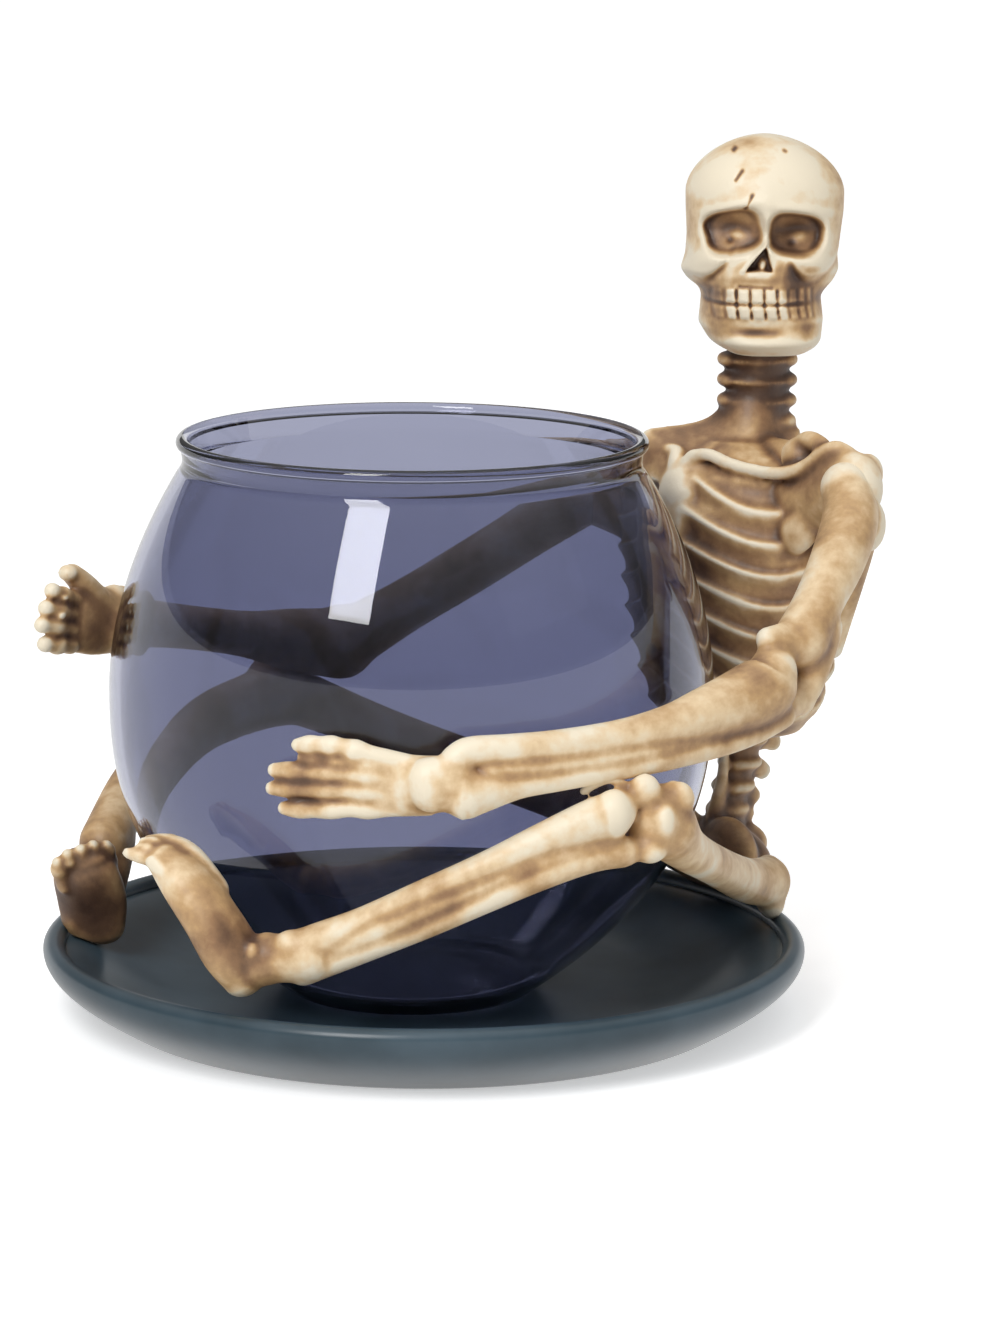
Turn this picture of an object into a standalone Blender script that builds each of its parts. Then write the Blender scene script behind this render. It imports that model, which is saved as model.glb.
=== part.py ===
"""Skeleton candle holder: a saucer dish, a smoked glass bowl standing in it, and a cast
skeleton that sits on the dish rim with its arms and legs round the bowl.

Metres, +Z up. The origin is the centre of the dish's underside, which is the flat foot.
The figure is placed round the bowl: each joint has its direction round the bowl's axis in
degrees, its distance out from the bowl's widest part, and its height above the dish rim.
"""
import math

import bmesh
import bpy
import numpy as np
from mathutils import Matrix, Vector

for old in list(bpy.data.objects):
    bpy.data.objects.remove(old, do_unlink=True)

CLEARANCE = 0.0003          # air left between two pieces that touch

# Saucer dish
DISH_FOOT_RADIUS = 0.0695
DISH_FLARE = 0.0155         # how far the rim stands out beyond the foot
DISH_HEIGHT = 0.0167
DISH_FLOOR = 0.0046         # thickness of the floor
DISH_LIP = 0.0050           # width of the rolled lip
DISH_FLOOR_RADIUS = 0.052   # flat part of the floor

# Glass bowl
BOWL_X = -0.0030            # it stands a little off the dish's centre
BOWL_Y = -0.0016
BOWL_HEIGHT = 0.1242
BOWL_BASE_RADIUS = 0.0270
BELLY_RADIUS = 0.0668
BELLY_HEIGHT = 0.0680
NECK_RADIUS = 0.0505
NECK_HEIGHT = 0.1180        # where the shoulder ends and the short upright neck starts
BEAD = 0.0028               # height and width of the rolled bead at the mouth
GLASS = 0.0024              # wall
GLASS_BASE = 0.0040         # floor of the bowl

# Figure as a whole
SEAT = 33.0                 # direction round the bowl in which the figure sits
CHEST_TURN = 2.0            # how far the chest is turned from facing the bowl
HEAD_FACING = 272.0         # the head looks out to the front
CAST_GRAIN = 0.0008         # smallest form that the casting keeps
FACET_SHARE = 0.036         # part of the facets that the finished solid keeps

# Head
HEAD_OUT = 0.0273
HEAD_CHIN = 0.1255          # chin above the dish rim
HEAD_HEIGHT = 0.0487
HEAD_WIDTH = 0.0360
HEAD_FRONT = 0.0185
HEAD_BACK = 0.0240
SOCKET_SPREAD = 0.0068
SOCKET_DEPTH = 0.0075
MOUTH = 0.0106              # line between the teeth above the chin
TOOTH_HEIGHT = 0.0038
TOOTH_PITCH = 0.0030
JAW_SHIFT = 0.0004          # the jaw sits a little to one side

# Trunk
CHEST_OUT = 0.0215
CHEST_LOW = 0.0360          # lower edge of the ribs above the dish rim
CHEST_HIGH = 0.1050
CHEST_HALF_WIDTH = 0.0300
CHEST_HALF_DEPTH = 0.0205
RIB_PITCH = 0.0072
RIB_RELIEF = 0.0014
RIB_DROP = 0.0080           # how far a rib falls from the breastbone to the side
NECK_HALF_WIDTH = 0.0086
VERTEBRA_PITCH = 0.0042
HIP_SPREAD = 0.0225         # from the middle of the pelvis to a hip

# Bones
UPPER_ARM = 0.0052
FOREARM = 0.0056
THIGH = 0.0058
SHIN = 0.0062
COLLARBONE = 0.0019
FINGER = 0.0019
TOE = 0.0024
HAND_WIDTH = 0.0168
FOOT_WIDTH = 0.0135


def bowl_radius(h):
    """Outer radius of the bowl at height h above its underside: a rounded bottom that
    opens to the belly, a shoulder that draws in, then the upright neck."""
    if h <= BELLY_HEIGHT:
        rise = 1 - (1 - h / BELLY_HEIGHT) ** 2.5
        return BOWL_BASE_RADIUS + (BELLY_RADIUS - BOWL_BASE_RADIUS) * rise
    share = min(1.0, (h - BELLY_HEIGHT) / (NECK_HEIGHT - BELLY_HEIGHT))
    return BELLY_RADIUS - (BELLY_RADIUS - NECK_RADIUS) * share ** 1.9


def around(direction, out, up):
    """Point at a direction round the bowl, out from its belly and up from the dish rim."""
    turn = math.radians(direction)
    reach = BELLY_RADIUS + out
    return Vector((BOWL_X + reach * math.cos(turn), BOWL_Y + reach * math.sin(turn), DISH_HEIGHT + up))


def against(direction, out, up):
    """Point just outside the bowl's own wall at that height."""
    h = DISH_HEIGHT + up - DISH_FLOOR - CLEARANCE
    return around(direction, bowl_radius(h) - BELLY_RADIUS + out, up)


def compass(direction):
    turn = math.radians(direction)
    return Vector((math.cos(turn), math.sin(turn), 0.0))


def material(name, colour, roughness, metallic=0.0, transmission=0.0):
    mat = bpy.data.materials.new(name)
    mat.use_nodes = True
    shader = mat.node_tree.nodes["Principled BSDF"]
    shader.inputs["Base Color"].default_value = (*colour, 1.0)
    shader.inputs["Roughness"].default_value = roughness
    shader.inputs["Metallic"].default_value = metallic
    shader.inputs["Transmission Weight"].default_value = transmission
    mat.diffuse_color = (*colour, 1.0)
    return mat


def add_object(name, bm, mat, hidden=False):
    mesh = bpy.data.meshes.new(name)
    bm.normal_update()
    bm.to_mesh(mesh)
    bm.free()
    ob = bpy.data.objects.new(name, mesh)
    bpy.context.scene.collection.objects.link(ob)
    if hidden:
        ob.hide_render = True
        ob.display_type = "WIRE"
    else:
        mesh.materials.append(mat)
    return ob


def turned(name, profile, steps, mat=None, centre=(0.0, 0.0), hidden=False):
    """Solid of revolution: the outline (radius, height) runs from the axis at the bottom,
    out and up the outside, and back to the axis."""
    bm = bmesh.new()
    rings = []
    for radius, height in profile:
        if radius < 1e-7:
            rings.append([bm.verts.new((centre[0], centre[1], height))])
            continue
        ring = []
        for k in range(steps):
            a = 2 * math.pi * k / steps
            ring.append(bm.verts.new((centre[0] + radius * math.cos(a),
                                      centre[1] + radius * math.sin(a), height)))
        rings.append(ring)
    for low, high in zip(rings[:-1], rings[1:]):
        for k in range(steps):
            n = (k + 1) % steps
            if len(low) == 1:
                bm.faces.new((low[0], high[n], high[k]))
            elif len(high) == 1:
                bm.faces.new((low[k], low[n], high[0]))
            else:
                bm.faces.new((low[k], low[n], high[n], high[k]))
    ob = add_object(name, bm, mat, hidden)
    ob.data.shade_smooth()
    ob.data.set_sharp_from_angle(angle=math.radians(40))
    return ob


# Saucer dish: a flat foot, a flared wall, a rolled lip and a shallow hollow

DISH_RIM_RADIUS = DISH_FOOT_RADIUS + DISH_FLARE


def dish_outline(grow=0.0):
    """Outer wall as a quarter wave from the foot to the lip, the lip as a half round and
    the hollow as a half wave down to the floor, each moved outwards by grow."""
    lip = DISH_LIP / 2
    top = DISH_HEIGHT - lip
    points = [(0.0, -grow), (DISH_FOOT_RADIUS + grow, -grow)]
    for k in range(1, 6):
        s = k / 6
        points.append((DISH_FOOT_RADIUS + DISH_FLARE * math.sin(s * math.pi / 2) + grow, top * s))
    for k in range(7):
        a = math.pi * k / 6
        points.append((DISH_RIM_RADIUS - lip + (lip + grow) * math.cos(a),
                       top + (lip + grow) * math.sin(a)))
    inner = DISH_RIM_RADIUS - DISH_LIP
    for k in range(1, 6):
        s = k / 5
        fall = (1 - math.cos(math.pi * s ** 0.8)) / 2
        points.append((inner - (inner - DISH_FLOOR_RADIUS) * s - grow * (1 - s),
                       top - (top - DISH_FLOOR) * fall + grow))
    points.append((0.0, DISH_FLOOR + grow))
    return points


resin_dark = material("dish_resin", (0.035, 0.055, 0.060), 0.25)
base_dish = turned("base_dish", dish_outline(), 60, resin_dark)


# Glass bowl: one blown wall, open at the mouth, with a rolled bead

def bowl_outline(grow=0.0, wall=None):
    """The outer wall from the axis up to the bead; with a wall given, the outline comes
    back down inside at that distance."""
    foot = DISH_FLOOR + CLEARANCE
    points = [(0.0, foot - grow), (BOWL_BASE_RADIUS * 0.8, foot - grow)]
    heights = [0.0008, 0.0045, 0.012, 0.022, 0.036, 0.052]
    heights += [BELLY_HEIGHT + (NECK_HEIGHT - BELLY_HEIGHT) * k / 5 for k in range(6)]
    for h in heights:
        points.append((bowl_radius(h) + grow, foot + h))
    top = foot + BOWL_HEIGHT
    points.append((NECK_RADIUS + grow, top - BEAD * 1.25))
    points.append((NECK_RADIUS + BEAD * 0.4 + grow, top - BEAD))
    points.append((NECK_RADIUS + BEAD * 0.5 + grow, top - BEAD * 0.5))
    points.append((NECK_RADIUS + BEAD * 0.2 + grow, top + grow))
    if wall is None:
        points.append((0.0, top + grow))
        return points
    points.append((NECK_RADIUS - wall * 0.7, top))
    points.append((NECK_RADIUS - wall, top - BEAD * 0.5))
    for h in reversed(heights):
        if h > GLASS_BASE:
            points.append((bowl_radius(h) - wall, foot + h))
    points.append((BOWL_BASE_RADIUS * 0.9, foot + GLASS_BASE))
    points.append((0.0, foot + GLASS_BASE))
    return points


smoked = material("smoked_glass", (0.17, 0.19, 0.30), 0.05, transmission=0.85)
glass_bowl = turned("glass_bowl", bowl_outline(wall=GLASS), 52, smoked, centre=(BOWL_X, BOWL_Y))


# Skeleton: bones as closed forms in one mesh, which the casting then joins

bones = bmesh.new()


def smooth_path(points, per_span=4):
    """Curve through the points with even tangents at each of them."""
    p = [Vector(points[0]) * 2 - Vector(points[1]), *map(Vector, points),
         Vector(points[-1]) * 2 - Vector(points[-2])]
    out = []
    for i in range(1, len(p) - 2):
        for k in range(per_span):
            t = k / per_span
            out.append(0.5 * ((2 * p[i]) + (p[i + 1] - p[i - 1]) * t
                              + (2 * p[i - 1] - 5 * p[i] + 4 * p[i + 1] - p[i + 2]) * t * t
                              + (3 * p[i] - p[i - 1] - 3 * p[i + 1] + p[i + 2]) * t ** 3))
    out.append(p[-2])
    return out


def bone(points, radii, flat=1.0, side=(0, 0, 1), sides=10, per_span=4):
    """Round bar along a smooth path, its radius read between the given radii, with domed
    ends; flat widens the section along side."""
    path = smooth_path(points, per_span)
    size = np.interp(np.linspace(0, len(radii) - 1, len(path)), range(len(radii)), radii)
    rings = []
    for i, at in enumerate(path):
        along = (path[min(i + 1, len(path) - 1)] - path[max(i - 1, 0)]).normalized()
        wide = Vector(side)
        wide = (wide - along * wide.dot(along)).normalized()
        deep = along.cross(wide)
        steps = [(0.0, 1.0)]
        if i == 0:
            steps = [(-1.0, 0.0), (-0.8, 0.6), (0.0, 1.0)]
        if i == len(path) - 1:
            steps = [(0.0, 1.0), (0.8, 0.6), (1.0, 0.0)]
        for shift, scale in steps:
            middle = at + along * (size[i] * shift)
            if scale == 0.0:
                rings.append([bones.verts.new(middle)])
                continue
            rings.append([bones.verts.new(middle + wide * (size[i] * scale * flat * math.cos(a))
                                          + deep * (size[i] * scale * math.sin(a)))
                          for a in (2 * math.pi * k / sides for k in range(sides))])
    for low, high in zip(rings[:-1], rings[1:]):
        for k in range(sides):
            n = (k + 1) % sides
            if len(low) == 1:
                bones.faces.new((low[0], high[n], high[k]))
            elif len(high) == 1:
                bones.faces.new((low[k], low[n], high[0]))
            else:
                bones.faces.new((low[k], low[n], high[n], high[k]))


def knob(centre, size, along=(1, 0, 0)):
    """Rounded lump with half-sizes (along, across, up)."""
    x = Vector(along).normalized()
    y = Vector((0, 0, 1)).cross(x).normalized()
    z = x.cross(y)
    turn = Matrix((x, y, z)).transposed().to_4x4()
    made = bmesh.ops.create_uvsphere(bones, u_segments=16, v_segments=10, radius=1.0)
    scale = Matrix.Diagonal((*size, 1.0))
    bmesh.ops.transform(bones, verts=made["verts"], matrix=Matrix.Translation(centre) @ turn @ scale)


def stack(sections, place):
    """Closed form through level sections. Each section is (points, level), the points as
    (across, forward) pairs for one turn; place carries (across, forward, level) to the
    world."""
    rings = [[bones.verts.new(place(x, y, level)) for x, y in points] for points, level in sections]
    for low, high in zip(rings[:-1], rings[1:]):
        for k in range(len(low)):
            n = (k + 1) % len(low)
            bones.faces.new((low[k], low[n], high[n], high[k]))
    bones.faces.new(list(reversed(rings[0])))
    bones.faces.new(rings[-1])


def swell(x, z, half_width, half_height):
    """Soft patch: 1 at its middle, about a half at its half-width and half-height."""
    return math.exp(-0.7 * ((x / half_width) ** 2 + (z / half_height) ** 2))


def pit(x, z, half_width, half_height, power=2.6):
    """Hollow with a steep wall: 1 over its floor, 0 outside its rim."""
    reach = (abs(x / half_width) ** power + abs(z / half_height) ** power) ** (1 / power)
    wall = min(1.0, max(0.0, (1.12 - reach) / 0.42))
    return wall * wall * (3 - 2 * wall)


# Head

head_middle = around(SEAT, HEAD_OUT, HEAD_CHIN)
head_front = compass(HEAD_FACING)
head_left = compass(HEAD_FACING + 90)


def head_point(x, y, z):
    return head_middle + head_left * x + head_front * y + Vector((0, 0, z))


def face_depth(x, z):
    """How far the face is pushed in at x across and z above the chin: the sockets, the
    nose, the hollow cheeks, the mouth line and the gaps between teeth, less the nose
    bridge, the cheekbones and the chin, which stand out."""
    socket_z = z - 0.565 * HEAD_HEIGHT
    depth = 0.0
    for side in (-1, 1):
        across = side * x - SOCKET_SPREAD + 0.20 * socket_z
        depth += SOCKET_DEPTH * pit(across, socket_z, SOCKET_SPREAD * 0.87, HEAD_HEIGHT * 0.103)
        depth += 0.0034 * swell(side * x - 0.0108, z - 0.275 * HEAD_HEIGHT, 0.0032, 0.0030)
        depth -= 0.0016 * swell(side * x - 0.0125, z - 0.410 * HEAD_HEIGHT, 0.0040, 0.0020)
    nose_z = z - 0.355 * HEAD_HEIGHT
    nose_high = HEAD_HEIGHT * 0.14
    if 0 < nose_z < nose_high:
        half = 0.0034 - 0.0028 * nose_z / nose_high
        depth += 0.0042 * max(0.0, 1 - (abs(x) / half) ** 3)
    depth -= 0.0016 * swell(x, z - 0.56 * HEAD_HEIGHT, 0.0016, 0.0050)
    depth -= 0.0010 * swell(x, z - 0.06 * HEAD_HEIGHT, 0.0060, 0.0022)
    depth += 0.0009 * swell(x, z - 0.125 * HEAD_HEIGHT, 0.0070, 0.0014)
    depth += 0.0009 * pit(x, z - MOUTH, 0.0125, 0.0007, 4)
    if abs(z - MOUTH) < TOOTH_HEIGHT and abs(x) < 0.0125:
        depth += 0.0006 * abs(math.cos(math.pi * x / TOOTH_PITCH)) ** 6
    return depth


def head_section(s):
    """Level section of the head at share s of its height: half-width and reach follow the
    jaw, cheekbones and dome, and the front is pushed in by the face."""
    half = HEAD_WIDTH / 2
    width = half * np.interp(s, [0, 0.02, 0.06, 0.12, 0.20, 0.28, 0.33, 0.375, 0.45, 0.55, 0.66, 0.735,
                                 0.805, 0.875, 0.93, 0.965, 1.0],
                             [0.46, 0.62, 0.77, 0.84, 0.81, 0.80, 0.93, 1.03, 0.97, 0.97, 1.0, 0.99,
                              0.91, 0.79, 0.60, 0.44, 0.16])
    front = HEAD_FRONT * np.interp(s, [0, 0.06, 0.14, 0.25, 0.34, 0.48, 0.58, 0.68, 0.78, 0.88, 0.95, 1.0],
                                   [0.84, 1.04, 0.98, 1.05, 1.0, 0.98, 0.96, 1.0, 0.94, 0.74, 0.46, 0.08])
    back = HEAD_BACK * np.interp(s, [0, 0.08, 0.22, 0.34, 0.44, 0.60, 0.75, 0.87, 0.95, 1.0],
                                 [-0.05, 0.06, 0.14, 0.55, 0.88, 1.0, 0.98, 0.76, 0.46, 0.10])
    square = np.interp(s, [0, 0.3, 0.5, 0.7, 1.0], [2.2, 2.5, 2.6, 2.2, 2.0])
    z = s * HEAD_HEIGHT
    points = []
    for k in range(96):
        a = 2 * math.pi * k / 96
        a -= 0.35 * math.sin(2 * a)
        c, d = math.cos(a), math.sin(a)
        x = width * math.copysign(abs(d) ** (2 / square), d)
        reach = front if c > 0 else back
        y = reach * math.copysign(abs(c) ** (2 / square), c)
        if c > 0:
            y -= face_depth(x, z) * min(1.0, 3 * c)
        points.append((x - JAW_SHIFT * max(0.0, 1 - s / 0.6), y))
    return points, z


stack([head_section(k / 72) for k in range(73)], head_point)

# Chest, with the ribs standing on it

chest_front = compass(SEAT + 180 + CHEST_TURN)
chest_left = compass(SEAT + 270 + CHEST_TURN)
chest_middle = around(SEAT, CHEST_OUT, 0.0)


def chest_point(x, y, z):
    return chest_middle + chest_left * x + chest_front * y + Vector((0, 0, z))


def chest_section(s):
    """Level section of the chest at share s of its height. A rib is a crest of a wave in
    height, and the wave drops from the breastbone to the side and climbs to the back."""
    shape = np.interp(s, [0, 0.03, 0.10, 0.25, 0.45, 0.65, 0.80, 0.90, 0.96, 1.0],
                      [0.30, 0.55, 0.74, 0.88, 0.97, 1.0, 0.92, 0.74, 0.52, 0.26])
    z = CHEST_LOW + s * (CHEST_HIGH - CHEST_LOW)
    lean = 0.003 * (s - 0.5)
    points = []
    for k in range(64):
        a = 2 * math.pi * k / 64
        from_front = abs((math.degrees(a) + 180) % 360 - 180)
        if from_front < 65:
            fall = -RIB_DROP * math.sin(math.radians(from_front * 90 / 65))
        else:
            fall = -RIB_DROP + 1.4 * RIB_DROP * ((from_front - 65) / 115) ** 1.3
        wave = math.cos(2 * math.pi * (CHEST_HIGH - z + fall - 0.002) / RIB_PITCH)
        relief = RIB_RELIEF * wave * min(1.0, 4 * s, 10 * (1 - s))
        if from_front < 12:
            relief = RIB_RELIEF
        points.append(((CHEST_HALF_WIDTH * shape + relief) * math.sin(a),
                       (CHEST_HALF_DEPTH * shape + relief) * math.cos(a) + lean))
    return points, z


stack([chest_section(k / 72) for k in range(73)], chest_point)

# Neck and spine: a bar with a ring at each vertebra

neck_foot = around(SEAT + 1.5, HEAD_OUT + 0.0005, CHEST_HIGH - 0.004)
neck_top = around(SEAT + 0.5, HEAD_OUT, HEAD_CHIN + 0.012)
bone([neck_foot, neck_top], [NECK_HALF_WIDTH * 1.05, NECK_HALF_WIDTH * 0.86], sides=14)
for k in range(4):
    at = around(SEAT + 1.2, HEAD_OUT, HEAD_CHIN - 0.0035 - k * VERTEBRA_PITCH)
    knob(at, (NECK_HALF_WIDTH * 1.08, NECK_HALF_WIDTH * 1.08, VERTEBRA_PITCH * 0.42))
shoulder_root = around(SEAT + 1.5, HEAD_OUT - 0.002, CHEST_HIGH - 0.003)
knob(shoulder_root, (0.0110, 0.0180, 0.0080), along=chest_front)

waist_top = around(SEAT, CHEST_OUT + 0.002, CHEST_LOW + 0.004)
waist_foot = around(SEAT, CHEST_OUT - 0.001, 0.011)
bone([waist_foot, waist_top], [0.0046, 0.0048], sides=12)
for k in range(5):
    share = (k + 0.5) / 5
    at = waist_foot.lerp(waist_top, share)
    knob(at, (0.0058, 0.0058, 0.0022))
    tip = at - chest_front * 0.0105 + Vector((0, 0, -0.001))
    bone([at, tip], [0.0024, 0.0013], flat=1.2, sides=8)

# Pelvis

pelvis = around(SEAT, CHEST_OUT - 0.004, 0.009)
knob(pelvis, (0.0105, HIP_SPREAD * 0.80, 0.0095), along=chest_front)
for sign in (-1, 1):
    wing = pelvis + chest_left * (sign * HIP_SPREAD * 0.50) + chest_front * 0.005 + Vector((0, 0, 0.006))
    knob(wing, (0.0060, 0.0085, 0.0095), along=chest_front)

# Shoulders

shoulder = {"left": around(7, 0.0305, 0.0995), "right": around(60, 0.0165, 0.0885)}
point_of_shoulder = {"left": around(9.5, 0.0318, 0.1042), "right": around(56, 0.0170, 0.0975)}
notch = around(34, 0.0045, 0.1010)
bone([notch, around(29, 0.0072, 0.1050), around(19.5, 0.0142, 0.1028), around(13, 0.0220, 0.1042),
      point_of_shoulder["left"]],
     [COLLARBONE * 1.25, COLLARBONE, COLLARBONE, COLLARBONE * 1.1, COLLARBONE * 1.4], sides=8)
bone([notch, around(38, 0.0050, 0.1046), around(46, 0.0095, 0.1030), point_of_shoulder["right"]],
     [COLLARBONE * 1.25, COLLARBONE, COLLARBONE, COLLARBONE * 1.3], sides=8)
bone([notch, around(33, 0.0030, 0.088), around(33, 0.0010, 0.072)], [0.0030, 0.0028, 0.0020],
     flat=1.3, side=chest_left, sides=8)
blade_foot = {"left": around(19, 0.0325, 0.060), "right": around(47, 0.0325, 0.060)}
blade_middle = {"left": around(14.5, 0.0335, 0.086), "right": around(52, 0.0325, 0.084)}
for name in ("left", "right"):
    tip = point_of_shoulder[name]
    knob(tip + Vector((0, 0, -0.004)) - chest_front * 0.0035, (0.0052, 0.0048, 0.0052), along=chest_front)
    bone([tip - chest_front * 0.003 - Vector((0, 0, 0.006)), blade_middle[name], blade_foot[name]],
         [0.0040, 0.0062, 0.0030], flat=1.5, side=chest_left, sides=10)
    bone([tip - Vector((0, 0, 0.002)), tip.lerp(shoulder_root, 0.45) + Vector((0, 0, 0.0015)), shoulder_root],
         [0.0034, 0.0034, 0.0036], sides=8)
    bone([shoulder[name] - chest_front * 0.003, chest_middle + Vector((0, 0, CHEST_HIGH - 0.020))],
         [0.0062, 0.0080], flat=1.4, sides=10)

# Arms

elbow = {"left": around(-21, 0.0215, 0.0605), "right": around(103.5, 0.0125, 0.0505)}
wrist = {"left": around(-84, 0.0066, 0.0495), "right": around(156, 0.0062, 0.0650)}
forearm_way = {
    "left": [around(-38, 0.0125, 0.0570), around(-54, 0.0085, 0.0550), around(-68, 0.0072, 0.0532)],
    "right": [around(116, 0.0090, 0.0535), around(128, 0.0068, 0.0570), around(142, 0.0062, 0.0610)],
}
for name in ("left", "right"):
    bone([shoulder[name], shoulder[name].lerp(elbow[name], 0.5) - chest_front * 0.0015, elbow[name]],
         [UPPER_ARM * 1.30, UPPER_ARM * 1.08, UPPER_ARM, UPPER_ARM * 1.05, UPPER_ARM * 1.25],
         flat=1.3, side=(1, 0, 0.2))
    knob(elbow[name] + Vector((0, 0, 0.004)), (0.0075, 0.0062, 0.0062), along=chest_left)
    route = [elbow[name], *forearm_way[name], wrist[name]]
    bone(route, [FOREARM * 1.60, FOREARM * 1.38, FOREARM, FOREARM * 0.98, FOREARM * 1.05, FOREARM * 1.10],
         sides=12)


def hand(wrist_at, knuckle_at, tip_at, across, spread, thumb_up):
    """Palm as a flat bar from the wrist to the knuckles, then four fingers side by side and
    a thumb along the upper edge; across points from the little finger to the thumb."""
    across = Vector(across).normalized()
    bone([wrist_at, wrist_at.lerp(knuckle_at, 0.5), knuckle_at], [0.0040, 0.0040, 0.0032],
         flat=HAND_WIDTH / 0.0088, side=across, sides=12)
    for k in range(4):
        shift = across * (HAND_WIDTH * (k - 1.8) / 4.6)
        start = knuckle_at + shift * 0.95
        end = tip_at + shift * spread + (knuckle_at - tip_at) * (0.0, -0.02, 0.04, 0.16)[3 - k]
        knob(start, (FINGER * 1.25,) * 3)
        bone([start, start.lerp(end, 0.55), end], [FINGER * 1.1, FINGER * 1.05, FINGER * 0.85], sides=8)
    thumb = [wrist_at.lerp(knuckle_at, 0.4) + across * HAND_WIDTH * 0.42,
             knuckle_at + across * HAND_WIDTH * thumb_up,
             knuckle_at.lerp(tip_at, 0.5) + across * HAND_WIDTH * (thumb_up + 0.02)]
    bone(thumb, [FINGER * 1.2, FINGER * 1.1, FINGER * 0.9], sides=8)


hand(wrist["left"], against(-101.5, 0.0036, 0.0490), against(-113.5, 0.0034, 0.0485), (0, 0, 1), 0.90, 0.46)
hand(wrist["right"], around(169, 0.0095, 0.0685), around(-178, 0.0150, 0.0690), (0.15, 0, 1), 1.15, 0.62)

# Legs

hip = {"left": around(15, 0.0140, 0.0100), "right": around(49, 0.0185, 0.0100)}
knee = {"left": around(-48, 0.0135, 0.0385), "right": around(114, 0.0175, 0.0395)}
ankle = {"left": around(-107, 0.0030, 0.0120), "right": around(168, 0.0045, 0.0165)}
thigh_way = {"left": around(-7, 0.0030, 0.0185), "right": around(80, 0.0060, 0.0230)}
shin_way = {
    "left": [around(-64, 0.0095, 0.0330), around(-86, 0.0035, 0.0215)],
    "right": [around(130, 0.0145, 0.0340), around(148, 0.0085, 0.0255)],
}
for name in ("left", "right"):
    bone([hip[name], thigh_way[name], knee[name]],
         [THIGH * 1.30, THIGH * 1.05, THIGH, THIGH * 1.0, THIGH * 1.25], sides=12)
    knob(knee[name], (0.0105, 0.0085, 0.0095), along=compass(SEAT + 90))
    knob(knee[name] + Vector((0, 0, 0.0068)), (0.0062, 0.0060, 0.0058), along=compass(SEAT + 90))
    route = [knee[name] + Vector((0, 0, -0.001)), *shin_way[name], ankle[name]]
    bone(route, [SHIN * 1.25, SHIN * 1.10, SHIN, SHIN * 0.95, SHIN * 1.0], sides=12)
    bone([hip[name], pelvis], [THIGH * 1.2, THIGH * 1.3], sides=10)


def foot(heel_at, ball_at, toe_at, across, instep_at):
    """Heel, instep and ball as one flat bar, with five toes side by side."""
    across = Vector(across).normalized()
    bone([heel_at, heel_at.lerp(ball_at, 0.5), ball_at], [0.0050, 0.0048, 0.0036],
         flat=FOOT_WIDTH / 0.0094, side=across, sides=12)
    bone([instep_at, heel_at.lerp(ball_at, 0.35)], [0.0058, 0.0055], sides=10)
    for k in range(5):
        shift = across * (FOOT_WIDTH * (k - 2) / 4.4)
        start = ball_at + shift
        end = toe_at + shift + (ball_at - toe_at) * (0.0, 0.08, 0.16, 0.26, 0.38)[k]
        bone([start, end], [TOE * 0.95, TOE * 0.70], sides=8)


foot(around(-118.5, 0.0055, 0.0085), around(-132, 0.0110, 0.0270), around(-137.5, 0.0140, 0.0325),
     compass(-128 + 15), ankle["left"])
foot(around(172, 0.0060, 0.0040), around(-179, 0.0065, 0.0150), around(-176, 0.0070, 0.0205),
     compass(-8), ankle["right"])

bone_resin = material("bone_resin", (0.78, 0.62, 0.42), 0.55)
skeleton = add_object("skeleton", bones, bone_resin)
cast = skeleton.modifiers.new("cast in one piece", "REMESH")
cast.mode = "VOXEL"
cast.voxel_size = CAST_GRAIN
cast.use_smooth_shade = True
facets = skeleton.modifiers.new("facets", "DECIMATE")
facets.ratio = FACET_SHARE
facets.use_collapse_triangulate = True

bowl_room = turned("bowl_room", bowl_outline(CLEARANCE), 52, centre=(BOWL_X, BOWL_Y), hidden=True)
dish_room = turned("dish_room", dish_outline(CLEARANCE), 60, hidden=True)
for room in (bowl_room, dish_room):
    fit = skeleton.modifiers.new("fit to " + room.name, "BOOLEAN")
    fit.operation = "DIFFERENCE"
    fit.object = room
    fit.solver = "EXACT"
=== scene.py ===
"""Skeleton candle holder: a dark saucer dish, a smoked glass bowl standing in it, and a cast
skeleton that sits on the dish's rim with its arms and legs round the bowl.

Metres, +Z up, with the origin at the centre of the dish's underside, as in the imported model.
"""
import math

import bpy
import numpy as np
from mathutils import Matrix, Vector


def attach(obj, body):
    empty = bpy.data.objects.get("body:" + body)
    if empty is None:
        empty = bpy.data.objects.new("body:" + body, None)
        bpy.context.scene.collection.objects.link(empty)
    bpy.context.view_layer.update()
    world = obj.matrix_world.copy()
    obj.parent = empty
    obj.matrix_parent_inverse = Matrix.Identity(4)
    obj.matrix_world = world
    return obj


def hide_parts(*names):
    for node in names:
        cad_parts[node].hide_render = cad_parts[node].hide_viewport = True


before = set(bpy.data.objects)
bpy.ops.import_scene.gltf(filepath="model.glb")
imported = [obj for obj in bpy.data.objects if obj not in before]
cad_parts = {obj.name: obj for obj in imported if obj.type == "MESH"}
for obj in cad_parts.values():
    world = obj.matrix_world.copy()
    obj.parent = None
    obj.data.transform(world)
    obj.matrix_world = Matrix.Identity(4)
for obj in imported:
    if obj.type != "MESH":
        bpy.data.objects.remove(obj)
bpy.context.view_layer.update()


# Saucer dish: pressed in one piece with a flat foot, a flared wall, a rolled lip and a
# shallow hollow. It is painted a blackish teal and lacquered, and carries all the rest.

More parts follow.
